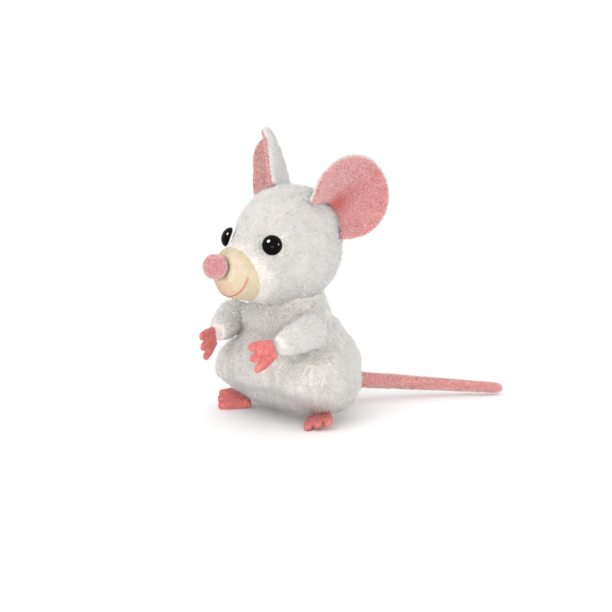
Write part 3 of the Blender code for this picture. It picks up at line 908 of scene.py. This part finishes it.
class StitchTree:
    """Geometry Nodes tree that lays stitches end to end along a line."""

    def __init__(self, material: bpy.types.Material) -> None:
        """Builds the tree for one thread."""
        self.tree = bpy.data.node_groups.new(f"stitches_of_{material.name}", "GeometryNodeTree")
        tree = self.tree
        tree.interface.new_socket("Geometry", in_out="INPUT", socket_type="NodeSocketGeometry")
        tree.interface.new_socket("Geometry", in_out="OUTPUT", socket_type="NodeSocketGeometry")
        self.spacing = tree.interface.new_socket("Spacing", in_out="INPUT",
                                                 socket_type="NodeSocketFloat").identifier
        self.fill = tree.interface.new_socket("Fill", in_out="INPUT",
                                              socket_type="NodeSocketFloat").identifier
        self.width = tree.interface.new_socket("Width", in_out="INPUT",
                                               socket_type="NodeSocketFloat").identifier
        entry = add_node(tree, "NodeGroupInput").outputs
        line = add_node(tree, "GeometryNodeMeshToCurve", inputs={"Mesh": entry["Geometry"]})
        points = add_node(tree, "GeometryNodeCurveToPoints", {"mode": "LENGTH"},
                          {"Curve": line.outputs[0], "Length": entry["Spacing"]})
        turn = add_node(tree, "FunctionNodeAlignRotationToVector", {"axis": "X"},
                        {"Vector": points.outputs["Tangent"]})
        bead = add_node(tree, "GeometryNodeMeshIcoSphere", inputs={"Radius": 0.5, "Subdivisions": 2})
        reach = add_node(tree, "ShaderNodeMath", {"operation": "MULTIPLY"},
                         {0: entry["Spacing"], 1: entry["Fill"]})
        size = add_node(tree, "ShaderNodeCombineXYZ",
                        inputs={"X": reach.outputs[0], "Y": entry["Width"], "Z": entry["Width"]})
        laid = add_node(tree, "GeometryNodeInstanceOnPoints",
                        inputs={"Points": points.outputs["Points"], "Instance": bead.outputs["Mesh"],
                                "Rotation": turn.outputs[0], "Scale": size.outputs[0]})
        real = add_node(tree, "GeometryNodeRealizeInstances", inputs={"Geometry": laid.outputs[0]})
        smooth = add_node(tree, "GeometryNodeSetShadeSmooth", inputs={0: real.outputs[0]})
        dressed = add_node(tree, "GeometryNodeSetMaterial",
                           inputs={"Geometry": smooth.outputs[0], "Material": material})
        add_node(tree, "NodeGroupOutput", inputs={0: dressed.outputs[0]})

    def sew(self, name: str, line: Sequence[Vector], spacing_mm: float, fill: float,
            width_mm: float) -> bpy.types.Object:
        """Sews along a line.

        Args:
            name: Name of the stitched piece.
            line: Points of the line in metres.
            spacing_mm: Distance from one stitch to the next.
            fill: Stitch length as a share of the spacing.
            width_mm: Thickness of the thread.

        Returns:
            A plain mesh object of stitches.
        """
        mesh = bpy.data.meshes.new(name)
        mesh.from_pydata([tuple(point) for point in line],
                         [(index, index + 1) for index in range(len(line) - 1)], [])
        host = link_object(name, mesh)
        modifier = host.modifiers.new("stitches", "NODES")
        modifier.node_group = self.tree
        modifier[self.spacing] = spacing_mm * MM
        modifier[self.fill] = fill
        modifier[self.width] = width_mm * MM
        apply_modifiers(host)
        return host


@dataclass
class Workshop:
    """Materials and the trees that plant pile and sew stitches."""

    finishes: Finishes
    plush: PileTree
    terry: PileTree
    rose: PileTree
    fuzz: PileTree
    nap: PileTree
    smile: StitchTree
    seam: StitchTree

    @classmethod
    def open(cls, finishes: Finishes) -> Workshop:
        """Sets up the trees for the given materials."""
        return cls(finishes, PileTree(finishes.plush), PileTree(finishes.terry), PileTree(finishes.rose),
                   PileTree(finishes.felt_fuzz), PileTree(finishes.velour_nap),
                   StitchTree(finishes.smile_thread), StitchTree(finishes.seam_thread))


def settle(item: bpy.types.Object, body: str, nodes: Iterable[str] = ()) -> None:
    """Parents a finished piece to the body that carries it and hides the CAD nodes that it replaces.

    Args:
        item: The finished piece.
        body: CAD body that carries it.
        nodes: CAD nodes that it replaces.
    """
    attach(item, body)
    if nodes:
        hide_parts(*nodes)
    LOG.info("%s rides on %s", item.name, body)


@dataclass
class Head:
    """Head, muzzle, nose, smile and eyes."""

    shop: Workshop
    voxel: float = 1.2
    inset: float = 1.3
    pile: PileSpec = PileSpec(5.4, 3.2, 0.36, 0.62, 0.34, seed=11)
    nap: PileSpec = PileSpec(11.0, 0.7, 0.24, 0.3, 0.45, seed=12)
    tuft: PileSpec = PileSpec(14.0, 1.0, 0.34, 0.1, 0.6, seed=13)
    brushing: Brushing = Brushing(0.45, 6.0, 0.3, 3.2)
    eye_clearing: tuple[float, float] = (4.8, 8.0)
    dart_depth: float = 0.9
    dart_width: float = 1.5
    stitch_lift: float = 0.45
    edge_y: float = -34.0
    edge_z: float = 67.4
    edge_slope: float = 0.34

    def make(self) -> bpy.types.Object:
        """Builds and dresses the whole head.

        Returns:
            The head's skin.
        """
        skin = self._skin()
        self._nose()
        self._smile(skin)
        for side in Side:
            self._eye(side)
        LOG.info("head done, skin of %d faces", len(skin.data.polygons))
        return skin

    def _dart(self, place: Vector) -> float:
        """Nearness to the cheek darts and to the seam over the crown."""
        low, high = box_of("head_cover")
        height = (place.z - low.z) / (high.z - low.z)
        across = place.y / MM + 13.0 + 6.0 * max(0.0, height - 0.3)
        cheek = 1 - fade(abs(across), 0.0, self.dart_width)
        crown = 1 - fade(abs(place.x) / MM, 0.0, self.dart_width)
        return max(cheek * (1 - fade(height, 0.22, 0.36)), 0.5 * crown * fade(height, 0.6, 0.8))

    def _velour(self, place: Vector) -> float:
        """Distance in millimetres in front of the sewn edge of the velour, which slopes forward."""
        edge = self.edge_y - self.edge_slope * (place.z / MM - self.edge_z)
        return edge - place.y / MM

    def _skin(self) -> bpy.types.Object:
        """Skin of the head: white plush behind, cream velour on the muzzle.

        Returns:
            The skin.
        """
        skin = stuffed_form("head_skin", (("head_cover", "head_filling", "muzzle_panel"),), self.voxel, 6,
                            self.inset)
        centre = box_centre("head_cover")
        puff(skin, lambda place: min(1.0, self._dart(place) + 0.02), 9.0, 0.6)
        reshape(skin, lambda place: (centre - place).normalized() * self._dart(place) * self.dart_depth * MM)
        spread = self.inset - 0.6
        normals = [vert.normal.copy() for vert in skin.data.vertices]
        for vert, normal in zip(skin.data.vertices, normals):
            vert.co += normal * spread * fade(self._velour(vert.co), -1.0, 2.0) * MM
        skin.data.update()
        nose = box_centre("nose")
        eyes = [box_centre(f"eye_{side.label}") for side in Side]

        def flow(place: Vector) -> Vector:
            return (place - nose).normalized() + Vector((0, 0, -0.25))

        def pile(place: Vector) -> float:
            front = self._velour(place)
            if front > 0.3:
                return 0.0
            near_eye = min((place - eye).length for eye in eyes) / MM
            cleared = 0.3 + 0.7 * fade(near_eye, *self.eye_clearing)
            return cleared * (0.4 + 0.6 * fade(-front, 0.0, 10.0)) * (1 - 0.45 * self._dart(place))

        def nap(place: Vector) -> float:
            return 1.0 if self._velour(place) > -0.3 else 0.0

        velour = self._dressed(skin, "muzzle_nap", self.shop.nap, self.nap, nap, Brushing(0.3, 3.0, 0.2, 1.5))
        velour.data.materials[0] = self.shop.finishes.velour
        comb(skin, flow, pile, self.brushing)
        fur = self.shop.plush.grow(skin, "head_pile", self.pile)
        for material in (self.shop.finishes.backing, self.shop.finishes.velour):
            skin.data.materials.append(material)
        for polygon in skin.data.polygons:
            polygon.material_index = 1 if self._velour(polygon.center) > 0 else 0
        settle(skin, "head", ("head_cover", "head_filling"))
        settle(fur, "head")
        settle(velour, "head", ("muzzle_panel",))
        return skin

    def _dressed(self, skin: bpy.types.Object, name: str, tree: PileTree, spec: PileSpec, pile: Weight,
                 brushing: Brushing) -> bpy.types.Object:
        """Pile on a copy of the skin, combed away from the nose.

        Args:
            skin: The skin, left as it is.
            name: Name of the pile piece.
            tree: What plants the pile.
            spec: The pile's sizes.
            pile: Where the pile grows.
            brushing: Its swirls and tufts.

        Returns:
            The pile piece.
        """
        nose = box_centre("nose")
        base = link_object(f"{name}_base", skin.data.copy())
        comb(base, lambda place: place - nose, pile, brushing)
        grown = tree.grow(base, name, spec)
        bpy.data.objects.remove(base)
        return grown

    def _nose(self) -> None:
        """Rose terry ball of the nose."""
        skin = stuffed_form("nose_skin", (("nose",),), 0.6, 3, 0.5)
        comb(skin, lambda place: Vector((0, 0, -1)), lambda place: 1.0, Brushing(0.9, 2.0, 0.35, 1.2))
        tufts = self.shop.rose.grow(skin, "nose_tufts", self.tuft)
        skin.data.materials.append(self.shop.finishes.rose_ground)
        settle(skin, "head", ("nose",))
        settle(tufts, "head")

    def _smile(self, skin: bpy.types.Object) -> None:
        """Embroidered smile that follows the CAD thread over the muzzle.

        Args:
            skin: Skin that the stitches lie on.
        """
        points = node_points("mouth_stitch")
        steps = 15
        edges = np.linspace(points[:, 0].min(), points[:, 0].max(), steps + 1)
        middles = []
        for low, high in zip(edges, edges[1:]):
            inside = points[(points[:, 0] >= low) & (points[:, 0] <= high)]
            if len(inside):
                middles.append(Vector(inside.mean(axis=0)))
        tree = BVHTree.FromPolygons([vert.co for vert in skin.data.vertices],
                                    [polygon.vertices for polygon in skin.data.polygons])
        line = []
        for middle in middles:
            place, normal, _index, _distance = tree.find_nearest(middle)
            line.append(place + normal * self.stitch_lift * MM)
        thread = self.shop.smile.sew("smile_stitches", line, 1.5, 1.15, 0.7)
        settle(thread, "head", ("mouth_stitch",))

    def _eye(self, side: Side) -> None:
        """Domed eye on the CAD eye's own axis.

        Args:
            side: Side of the head.
        """
        node = f"eye_{side.label}"
        points = node_points(node)
        foot = Vector(node_points(f"eye_washer_{side.label}").mean(axis=0))
        axis = (Vector(points.mean(axis=0)) - foot).normalized()
        along = [(Vector(point) - foot).dot(axis) for point in points]
        across = [((Vector(point) - foot) - axis * depth).length for point, depth in zip(points, along)]
        radius = max(across)
        rim = along[across.index(radius)]
        top = max(along)
        right = axis.orthogonal().normalized()
        up = axis.cross(right)
        rows = 14
        segments = 48
        profile = [(rim - 0.9 * MM, radius * 0.7), (rim - 0.5 * MM, radius * 0.93)]
        for row in range(rows):
            angle = 0.5 * math.pi * row / rows
            profile.append((rim + (top - rim) * math.sin(angle), radius * math.cos(angle)))
        bm = bmesh.new()
        loops = []
        for depth, reach in profile:
            ring = []
            for index in range(segments):
                angle = 2 * math.pi * index / segments
                spoke = right * math.cos(angle) + up * math.sin(angle)
                ring.append(bm.verts.new(foot + axis * depth + spoke * reach))
            loops.append(ring)
        for lower, upper in zip(loops, loops[1:]):
            for index in range(segments):
                after = (index + 1) % segments
                bm.faces.new((lower[index], lower[after], upper[after], upper[index]))
        crown = bm.verts.new(foot + axis * top)
        for index in range(segments):
            bm.faces.new((loops[-1][index], loops[-1][(index + 1) % segments], crown))
        bm.faces.new(loops[0])
        bmesh.ops.recalc_face_normals(bm, faces=bm.faces)
        mesh = bpy.data.meshes.new(f"{node}_dome")
        bm.to_mesh(mesh)
        bm.free()
        mesh.shade_smooth()
        dome = link_object(f"{node}_dome", mesh)
        mesh.materials.append(self.shop.finishes.eye)
        settle(dome, "head", (node,))


@dataclass
class Trunk:
    """Body with its haunches and collar, seat panel and neck."""

    shop: Workshop
    head_skin: bpy.types.Object
    joints: dict[str, dict]
    voxel: float = 1.3
    inset: float = 1.3
    pile: PileSpec = PileSpec(5.4, 3.6, 0.38, 0.66, 0.3, seed=21)
    brushing: Brushing = Brushing(0.3, 7.0, 0.3, 2.6, 0.3)
    shoulder_radius: float = 8.8
    chest_centre: tuple[float, float, float] = (0.0, -13.5, 48.5)
    chest_radii: tuple[float, float, float] = (27.0, 9.5, 9.0)
    haunch_centre: tuple[float, float, float] = (21.0, -9.0, 20.6)
    haunch_radii: tuple[float, float, float] = (19.0, 19.5, 18.5)
    flank_centre: tuple[float, float, float] = (19.5, -3.0, 21.0)
    flank_radii: tuple[float, float, float] = (18.5, 25.0, 19.5)
    slope_centre: tuple[float, float, float] = (12.0, -4.0, 51.0)
    slope_radii: tuple[float, float, float] = (14.0, 13.0, 8.5)
    panel_front: float = -4.0
    belly_start: float = 5.0
    belly_slope: float = 0.62
    belly_height: float = 24.0
    collar: tuple[tuple[float, float], ...] = ((46.0, 21.5), (52.0, 20.0), (58.0, 18.2), (63.5, 16.8))
    collar_centre_y: float = -2.6
    head_gap: float = 0.5
    head_reach: float = 9.0
    seam_depth: float = 0.5

    def make(self) -> None:
        """Builds and dresses the trunk."""
        self._body()
        self._neck()
        self._pouch()
        self._seat()

    def _seam(self, place: Vector) -> float:
        """Nearness to the front and back seams and to the creases beside the belly."""
        front = 1 - fade(abs(place.x) / MM, 0.0, 1.3)
        crease = 0.0
        if place.y < 0 and place.z / MM < 34:
            inner = abs(place.x) / MM - 12.0 - 0.12 * (place.z / MM - 14)
            crease = (1 - fade(abs(inner), 0.0, 2.6)) * (1 - fade(place.z / MM, 22.0, 34.0))
        return max(0.5 * front, crease * 2.4)

    def _extras(self, bm: bmesh.types.BMesh) -> None:
        """Adds the collar under the head and the rounded shoulders.

        Args:
            bm: Solids to join into the body's form.
        """
        for (low, wide), (high, narrow) in zip(self.collar, self.collar[1:]):
            middle = Vector((0, self.collar_centre_y, (low + high) / 2)) * MM
            bmesh.ops.create_cone(bm, cap_ends=True, segments=48, radius1=wide * MM, radius2=narrow * MM,
                                  depth=(high - low + 0.4) * MM, matrix=Matrix.Translation(middle))
        ovals = [(self.chest_centre, self.chest_radii)]
        for side in Side:
            shoulder = self.joints[f"shoulder_{side.label}"]["pos_m"]
            ovals.append(([place / MM for place in shoulder], (self.shoulder_radius,) * 3))
            for (x, y, z), radii in ((self.haunch_centre, self.haunch_radii),
                                     (self.flank_centre, self.flank_radii),
                                     (self.slope_centre, self.slope_radii)):
                ovals.append(((x * side.value, y, z), radii))
        for centre, radii in ovals:
            shape = Matrix.Translation(Vector(centre) * MM) @ Matrix.Diagonal((*(Vector(radii) * MM), 1.0))
            bmesh.ops.create_icosphere(bm, subdivisions=3, radius=1.0, matrix=shape)

    def _lift(self, place: Vector) -> Vector:
        """Raises the belly's underside, which is well clear of the floor in front."""
        forward = max(0.0, -place.y / MM - self.belly_start)
        share = 1 - fade(place.z / MM, 0.0, self.belly_height)
        return Vector((0, 0, forward * self.belly_slope * share)) * MM

    def _shorten(self, place: Vector) -> Vector:
        """Draws the seat panel back behind the belly, to the part that touches the floor."""
        low, high = box_of("base_panel")
        share = (high.y - place.y) / (high.y - low.y)
        return Vector((0, share * (self.panel_front * MM - low.y), 0))

    def _clear_of_head(self, skin: bpy.types.Object) -> None:
        """Pushes the collar out of the head, so that it cups the head from below.

        Args:
            skin: The body's form, changed in place.
        """
        head = self.head_skin.data
        tree = BVHTree.FromPolygons([vert.co for vert in head.vertices],
                                    [polygon.vertices for polygon in head.polygons])
        for vert in skin.data.vertices:
            place, normal, _index, distance = tree.find_nearest(vert.co)
            depth = (vert.co - place).dot(normal)
            if distance < self.head_reach * MM and depth < self.head_gap * MM:
                vert.co = place + normal * self.head_gap * MM
        skin.data.update()

    def _body(self) -> None:
        """White plush body that hangs over the seat, with its haunches."""
        trunk = ("body_cover", "base_panel")
        legs = [(f"leg_cover_{side.label}", f"leg_filling_{side.label}") for side in Side]
        skin = stuffed_form("body_skin", (trunk, *legs), self.voxel, 14, self.inset, self._extras,
                            rounded=True)
        self._clear_of_head(skin)
        reshape(skin, self._lift)
        puff(skin, lambda place: min(1.0, self._seam(place) + 0.02), 9.0, 0.6)
        middle = box_centre("body_cover")
        reshape(skin, lambda place: (middle - place).normalized() * self._seam(place) * self.seam_depth * MM)
        floor = 1.8
        rim = self.collar[-1][0]

        def flow(place: Vector) -> Vector:
            out = Vector((place.x, place.y, 0)).normalized()
            lean = 0.35 * fade(place.z / MM, 40.0, 55.0)
            return Vector((0, 0, -1)) + out * (lean - 0.1)

        def pile(place: Vector) -> float:
            height = place.z / MM
            if height < floor or (height > rim - 20.0 and math.hypot(place.x, place.y) / MM < 11.0):
                return 0.0
            return (0.35 + 0.65 * fade(height, 1.5, 9.0)) * (1 - 0.35 * fade(height, rim - 8.0, rim))

        comb(skin, flow, pile, self.brushing)
        fur = self.shop.plush.grow(skin, "body_pile", self.pile)
        skin.data.materials.append(self.shop.finishes.backing)
        settle(skin, "body", ("body_cover", "body_filling", *legs[0], *legs[1]))
        settle(fur, "body")

    def _neck(self) -> None:
        """Knitted neck that joins the head to the body."""
        skin = stuffed_form("neck_skin", (("neck_filling",),), 0.9, 3, 0.0)
        skin.data.materials.append(self.shop.finishes.backing)
        settle(skin, "neck", ("neck_filling",))

    def _pouch(self) -> None:
        """Cotton bag of pellets in the seat, under the filling."""
        bag = stuffed_form("pellet_pouch", (("pellet_bag",),), 0.8, 3, 0.4)
        reshape(bag, self._lift)
        bag.data.materials.append(self.shop.finishes.bag)
        settle(bag, "body", ("pellet_bag",))

    def _seat(self) -> None:
        """Seat panel with the stitches that hold it."""
        panel = stuffed_form("seat_panel", (("base_panel",),), 0.7, 2, 0.0)
        reshape(panel, self._shorten)
        panel.data.materials.append(self.shop.finishes.backing)
        settle(panel, "body", ("base_panel",))
        low, high = box_of("base_panel")
        radius = (high.x - low.x) / 2 - 1.2 * MM
        turns = 72
        ring = []
        for index in range(turns + 1):
            angle = 2 * math.pi * index / turns
            place = Vector((radius * math.cos(angle), radius * math.sin(angle), 0.3 * MM))
            ring.append(place + self._shorten(place))
        seam = self.shop.seam.sew("seat_stitches", ring, 2.6, 0.7, 0.5)
        settle(seam, "body")


@dataclass
class Limbs:
    """Arms with felt hands, and felt feet."""

    shop: Workshop
    sleeve_pile: PileSpec = PileSpec(7.0, 2.8, 0.36, 0.6, 0.32, seed=31)
    fuzz: PileSpec = PileSpec(9.0, 0.45, 0.14, 0.35, 0.8, seed=32)
    foot_tilt: tuple[float, float] = (0.25, 0.38)

    def make(self) -> None:
        """Builds and dresses both arms, hands and feet."""
        for side in Side:
            self._arm(side)
            self._paw(f"hand_{side.label}", f"hand_{side.label}", 0.35)
            self._paw(f"foot_{side.label}", "body", 0.35)

    def _arm(self, side: Side) -> None:
        """Stuffed sleeve, its pile brushed back from the hand.

        Args:
            side: Side of the body.
        """
        label = side.label
        skin = stuffed_form(f"arm_skin_{label}", ((f"arm_cover_{label}", f"arm_filling_{label}"),), 0.8, 4, 1.0)
        puff(skin, lambda place: 0.02, 9.0, 0.5)
        hand = box_centre(f"hand_{label}")
        shoulder = box_centre(f"arm_cover_{label}")
        back = (shoulder - hand).normalized()
        cuff = min((Vector(vert.co) - hand).length for vert in skin.data.vertices) / MM

        def pile(place: Vector) -> float:
            return 0.3 + 0.7 * fade((place - hand).length / MM - cuff, 0.0, 7.0)

        comb(skin, lambda place: back + Vector((0, 0, -0.5)), pile, Brushing(0.4, 5.0, 0.3, 2.4))
        fur = self.shop.plush.grow(skin, f"arm_pile_{label}", self.sleeve_pile)
        skin.data.materials.append(self.shop.finishes.backing)
        settle(skin, f"arm_{label}", (f"arm_cover_{label}", f"arm_filling_{label}"))
        settle(fur, f"arm_{label}")

    def _tilt(self, node: str) -> Field:
        """Raises a foot's outer edge and heel, where the haunch draws them up.

        Args:
            node: CAD node of the foot.

        Returns:
            A field of offsets.
        """
        points = node_points(node)
        outwards = Vector((math.copysign(1.0, points[:, 0].mean()), 1.0, 0)).normalized()
        inner = min(Vector(point).dot(outwards) for point in points)

        tilt = self.foot_tilt[0] if outwards.x > 0 else self.foot_tilt[1]

        def lift(place: Vector) -> Vector:
            return Vector((0, 0, (place.dot(outwards) - inner) * tilt))

        return lift

    def _paw(self, node: str, body: str, voxel: float) -> None:
        """Felt hand or foot with softened edges and a fine fuzz.

        Args:
            node: CAD node of the paw.
            body: Body that carries it.
            voxel: Cell size of the remesh in millimetres.
        """
        felt = stuffed_form(f"{node}_felt", ((node,),), voxel, 3, 0.0)
        floor = box_of(node)[0].z
        reshape(felt, lambda place: swirl(place, 3.0, 9.1) * 0.2 * MM)
        if node.startswith("foot"):
            reshape(felt, self._tilt(node))
        for vert in felt.data.vertices:
            vert.co.z = max(vert.co.z, floor)
        comb(felt, lambda place: Vector((0.3, -0.5, -0.2)), lambda place: 1.0, Brushing(1.5, 1.5, 0.3, 1.0))
        fuzz = self.shop.fuzz.grow(felt, f"{node}_fuzz", self.fuzz)
        felt.data.materials.append(self.shop.finishes.felt)
        settle(felt, body, (node,))
        settle(fuzz, body)


@dataclass
class Ears:
    """Cupped ears: pink terry in front, white plush behind."""

    shop: Workshop
    joints: dict[str, dict]
    head_tree: BVHTree
    tuft: PileSpec = PileSpec(13.0, 1.0, 0.34, 0.15, 0.6, seed=41)
    back_pile: PileSpec = PileSpec(9.0, 2.0, 0.32, 0.62, 0.3, seed=42)
    lining_inset: float = 0.03
    fold_width: float = 3.6
    fold_reach: tuple[float, float] = (7.0, 21.0)
    curl: tuple[float, float] = (0.0, 0.4)
    curl_reach: tuple[float, float] = (18.0, 36.0)
    snug_reach: float = 5.0

    def make(self) -> None:
        """Builds and dresses both ears."""
        for side in Side:
            self._ear(side)

    def _frame(self, side: Side) -> tuple[Vector, Vector, Vector, Vector]:
        """Directions of one ear.

        Args:
            side: Side of the head.

        Returns:
            The root, and unit vectors along the hinge, out to the rim and out of the lining.
        """
        joint = self.joints[f"ear_fold_{side.label}"]
        root = Vector(joint["pos_m"])
        hinge = Vector(joint["axis"]).normalized()
        lining = Vector(node_points(f"ear_front_{side.label}").mean(axis=0))
        outward = lining - root
        outward = (outward - hinge * outward.dot(hinge)).normalized()
        facing = lining - Vector(node_points(f"ear_back_{side.label}").mean(axis=0))
        across = outward.cross(hinge)
        return root, hinge, outward, across * math.copysign(1.0, across.dot(facing))

    def _bend(self, side: Side) -> Field:
        """Curls an ear's rim forward towards its tip, as the stitched root draws it.

        Args:
            side: Side of the head.

        Returns:
            A field of offsets.
        """
        root, hinge, outward, facing = self._frame(side)
        amount = self.curl[0] if side is Side.LEFT else self.curl[1]

        def move(place: Vector) -> Vector:
            across = (place - root).dot(hinge) / MM
            out = (place - root).dot(outward) / MM
            rise = math.sqrt(across * across + 9.0) - 3.0
            return facing * rise * amount * fade(out, *self.curl_reach) * MM

        return move

    def _snug(self, place: Vector) -> Vector:
        """Draws the ear's root on to the head."""
        near, normal, _index, _distance = self.head_tree.find_nearest(place)
        gap = (place - near).dot(normal) / MM
        return normal * -max(0.0, gap - 0.2) * (1 - fade(gap, 1.2, self.snug_reach)) * MM

    def _fold(self, side: Side) -> Weight:
        """Painted shade along the crease that runs out from the ear's root.

        Args:
            side: Side of the head.

        Returns:
            A function of place, from 0 to 0.85.
        """
        root, hinge, outward, _facing = self._frame(side)

        def shade(place: Vector) -> float:
            across = abs((place - root).dot(hinge)) / MM
            out = (place - root).dot(outward) / MM
            return 0.85 * (1 - fade(across, 0.5, self.fold_width * 2)) * (1 - fade(out, *self.fold_reach))

        return shade

    def _ear(self, side: Side) -> None:
        """One ear.

        Args:
            side: Side of the head.
        """
        label = side.label
        body = f"ear_{label}"
        front = stuffed_form(f"ear_lining_{label}", ((f"ear_front_{label}",),), 0.45, 4, 0.0)
        back = stuffed_form(f"ear_outer_{label}", ((f"ear_back_{label}",),), 0.55, 4, 0.1)
        root = box_centre("head_cover")
        middle = Vector(node_points(f"ear_front_{label}").mean(axis=0))
        reshape(front, lambda place: (middle - place) * self.lining_inset)
        for layer in (front, back):
            reshape(layer, self._bend(side))
            reshape(layer, self._snug)
        # The lining's pile carries painted shade along the crease that runs out from its root.
        comb(front, lambda place: place - root, lambda place: 1.0, Brushing(0.8, 2.5, 0.35, 1.2),
             self._fold(side))
        comb(back, lambda place: place - root, lambda place: 1.0, Brushing(0.3, 5.0, 0.3, 2.4))
        tufts = self.shop.terry.grow(front, f"ear_tufts_{label}", self.tuft)
        fur = self.shop.plush.grow(back, f"ear_pile_{label}", self.back_pile)
        front.data.materials.append(self.shop.finishes.terry_ground)
        back.data.materials.append(self.shop.finishes.backing)
        settle(front, body, (f"ear_front_{label}",))
        settle(tufts, body)
        settle(back, body, (f"ear_back_{label}",))
        settle(fur, body)


@dataclass
class Tail:
    """Stuffed terry tail."""

    shop: Workshop
    tuft: PileSpec = PileSpec(13.0, 0.9, 0.34, 0.2, 0.6, seed=51)

    def make(self) -> None:
        """Builds and dresses the tail."""
        skin = stuffed_form("tail_skin", (("tail_cover", "tail_filling"),), 0.7, 4, 0.45)
        comb(skin, lambda place: Vector((0.4, 0.9, 0)), lambda place: 1.0, Brushing(0.9, 2.0, 0.35, 1.2))
        tufts = self.shop.terry.grow(skin, "tail_tufts", self.tuft)
        skin.data.materials.append(self.shop.finishes.terry_ground)
        settle(skin, "tail", ("tail_cover", "tail_filling"))
        settle(tufts, "tail")


@dataclass
class Studio:
    """Pale floor, soft light and the camera."""

    azimuth_deg: float = 45.0
    elevation_deg: float = 12.0
    distance_mm: float = 1275.0
    lens: float = 150.0
    target: tuple[float, float, float] = (4.0, 4.0, 54.6)

    def make(self) -> None:
        """Sets up the stage."""
        self._floor()
        self._lights()
        self._camera()

    def _direction(self, azimuth_deg: float, elevation_deg: float) -> Vector:
        """Unit vector from the object towards an azimuth and elevation."""
        azimuth = math.radians(azimuth_deg)
        rise = math.radians(elevation_deg)
        return Vector((math.sin(azimuth) * math.cos(rise), -math.cos(azimuth) * math.cos(rise),
                       math.sin(rise)))

    def _floor(self) -> None:
        """Wide white table top."""
        half = 4.0
        mesh = bpy.data.meshes.new("table_top")
        mesh.from_pydata([(-half, -half, 0), (half, -half, 0), (half, half, 0), (-half, half, 0)], [],
                         [(0, 1, 2, 3)])
        floor = link_object("table_top", mesh)
        floor.location.z = -0.0001
        material, _tree, shader = new_material("white_table_laminate")
        shader.inputs["Base Color"].default_value = (0.93, 0.93, 0.93, 1)
        shader.inputs["Roughness"].default_value = 0.6
        mesh.materials.append(material)

    def _lights(self) -> None:
        """White surroundings, a broad key light and a fill, and two lamps that light only the eyes."""
        world = bpy.data.worlds.new("studio")
        bpy.context.scene.world = world
        world.use_nodes = True
        background = world.node_tree.nodes["Background"]
        background.inputs["Color"].default_value = (1, 1, 1, 1)
        background.inputs["Strength"].default_value = 1.12
        eyes = bpy.data.collections.new("eyes")
        for side in Side:
            eyes.objects.link(bpy.data.objects[f"eye_{side.label}_dome"])
        for name, azimuth, elevation, distance, size, power in (
                ("key_softbox", 0, 50, 0.9, 0.5, 1.4), ("fill_softbox", 50, 2, 1.0, 0.5, 4.2),
                ("key_eye_light", 5, 50, 0.9, 0.4, 80.0), ("fill_eye_light", 112, 18, 1.0, 0.3, 12.0)):
            lamp = bpy.data.lights.new(name, "AREA")
            lamp.shape = "DISK"
            lamp.size = size
            lamp.energy = power
            item = bpy.data.objects.new(name, lamp)
            bpy.context.collection.objects.link(item)
            way = self._direction(azimuth, elevation)
            item.location = Vector(self.target) * MM + way * distance
            item.rotation_euler = way.to_track_quat("Z", "Y").to_euler()
            if name.endswith("eye_light"):
                item.light_linking.receiver_collection = eyes

    def _camera(self) -> None:
        """Long lens on the mouse's left front."""
        lens = bpy.data.cameras.new("camera")
        lens.lens = self.lens
        lens.sensor_width = 36
        lens.clip_start = 0.05
        item = bpy.data.objects.new("camera", lens)
        bpy.context.collection.objects.link(item)
        way = self._direction(self.azimuth_deg, self.elevation_deg)
        item.location = (Vector(self.target) + way * self.distance_mm) * MM
        item.rotation_euler = way.to_track_quat("Z", "Y").to_euler()
        bpy.context.scene.camera = item


def dress_hidden_nodes(frame: dict, finishes: Finishes) -> None:
    """Gives the CAD nodes that stay inside the mouse their own materials.

    Args:
        frame: The loaded frame.
        finishes: The mouse's materials.
    """
    kinds = {"neck_thread": finishes.seam_thread,
             "eye_washer_left": finishes.washer, "eye_washer_right": finishes.washer}
    for node, material in kinds.items():
        mesh = frame["nodes"][node].data
        mesh.materials.clear()
        mesh.materials.append(material)


def main() -> None:
    """Loads the frame, builds the mouse piece by piece and sets the stage."""
    logging.basicConfig(level=logging.INFO, format="%(name)s: %(message)s")
    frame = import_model()
    joints = {joint["name"]: joint for joint in frame["joints"]}
    bpy.context.scene.view_settings.view_transform = "Standard"
    finishes = Finishes.make(box_centre("mouth_stitch"))
    shop = Workshop.open(finishes)
    head_skin = Head(shop).make()
    Trunk(shop, head_skin, joints).make()
    Limbs(shop).make()
    head_tree = BVHTree.FromPolygons([vert.co for vert in head_skin.data.vertices],
                                     [polygon.vertices for polygon in head_skin.data.polygons])
    Ears(shop, joints, head_tree).make()
    Tail(shop).make()
    dress_hidden_nodes(frame, finishes)
    Studio().make()
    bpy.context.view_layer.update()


if __name__ == "__main__":
    main()
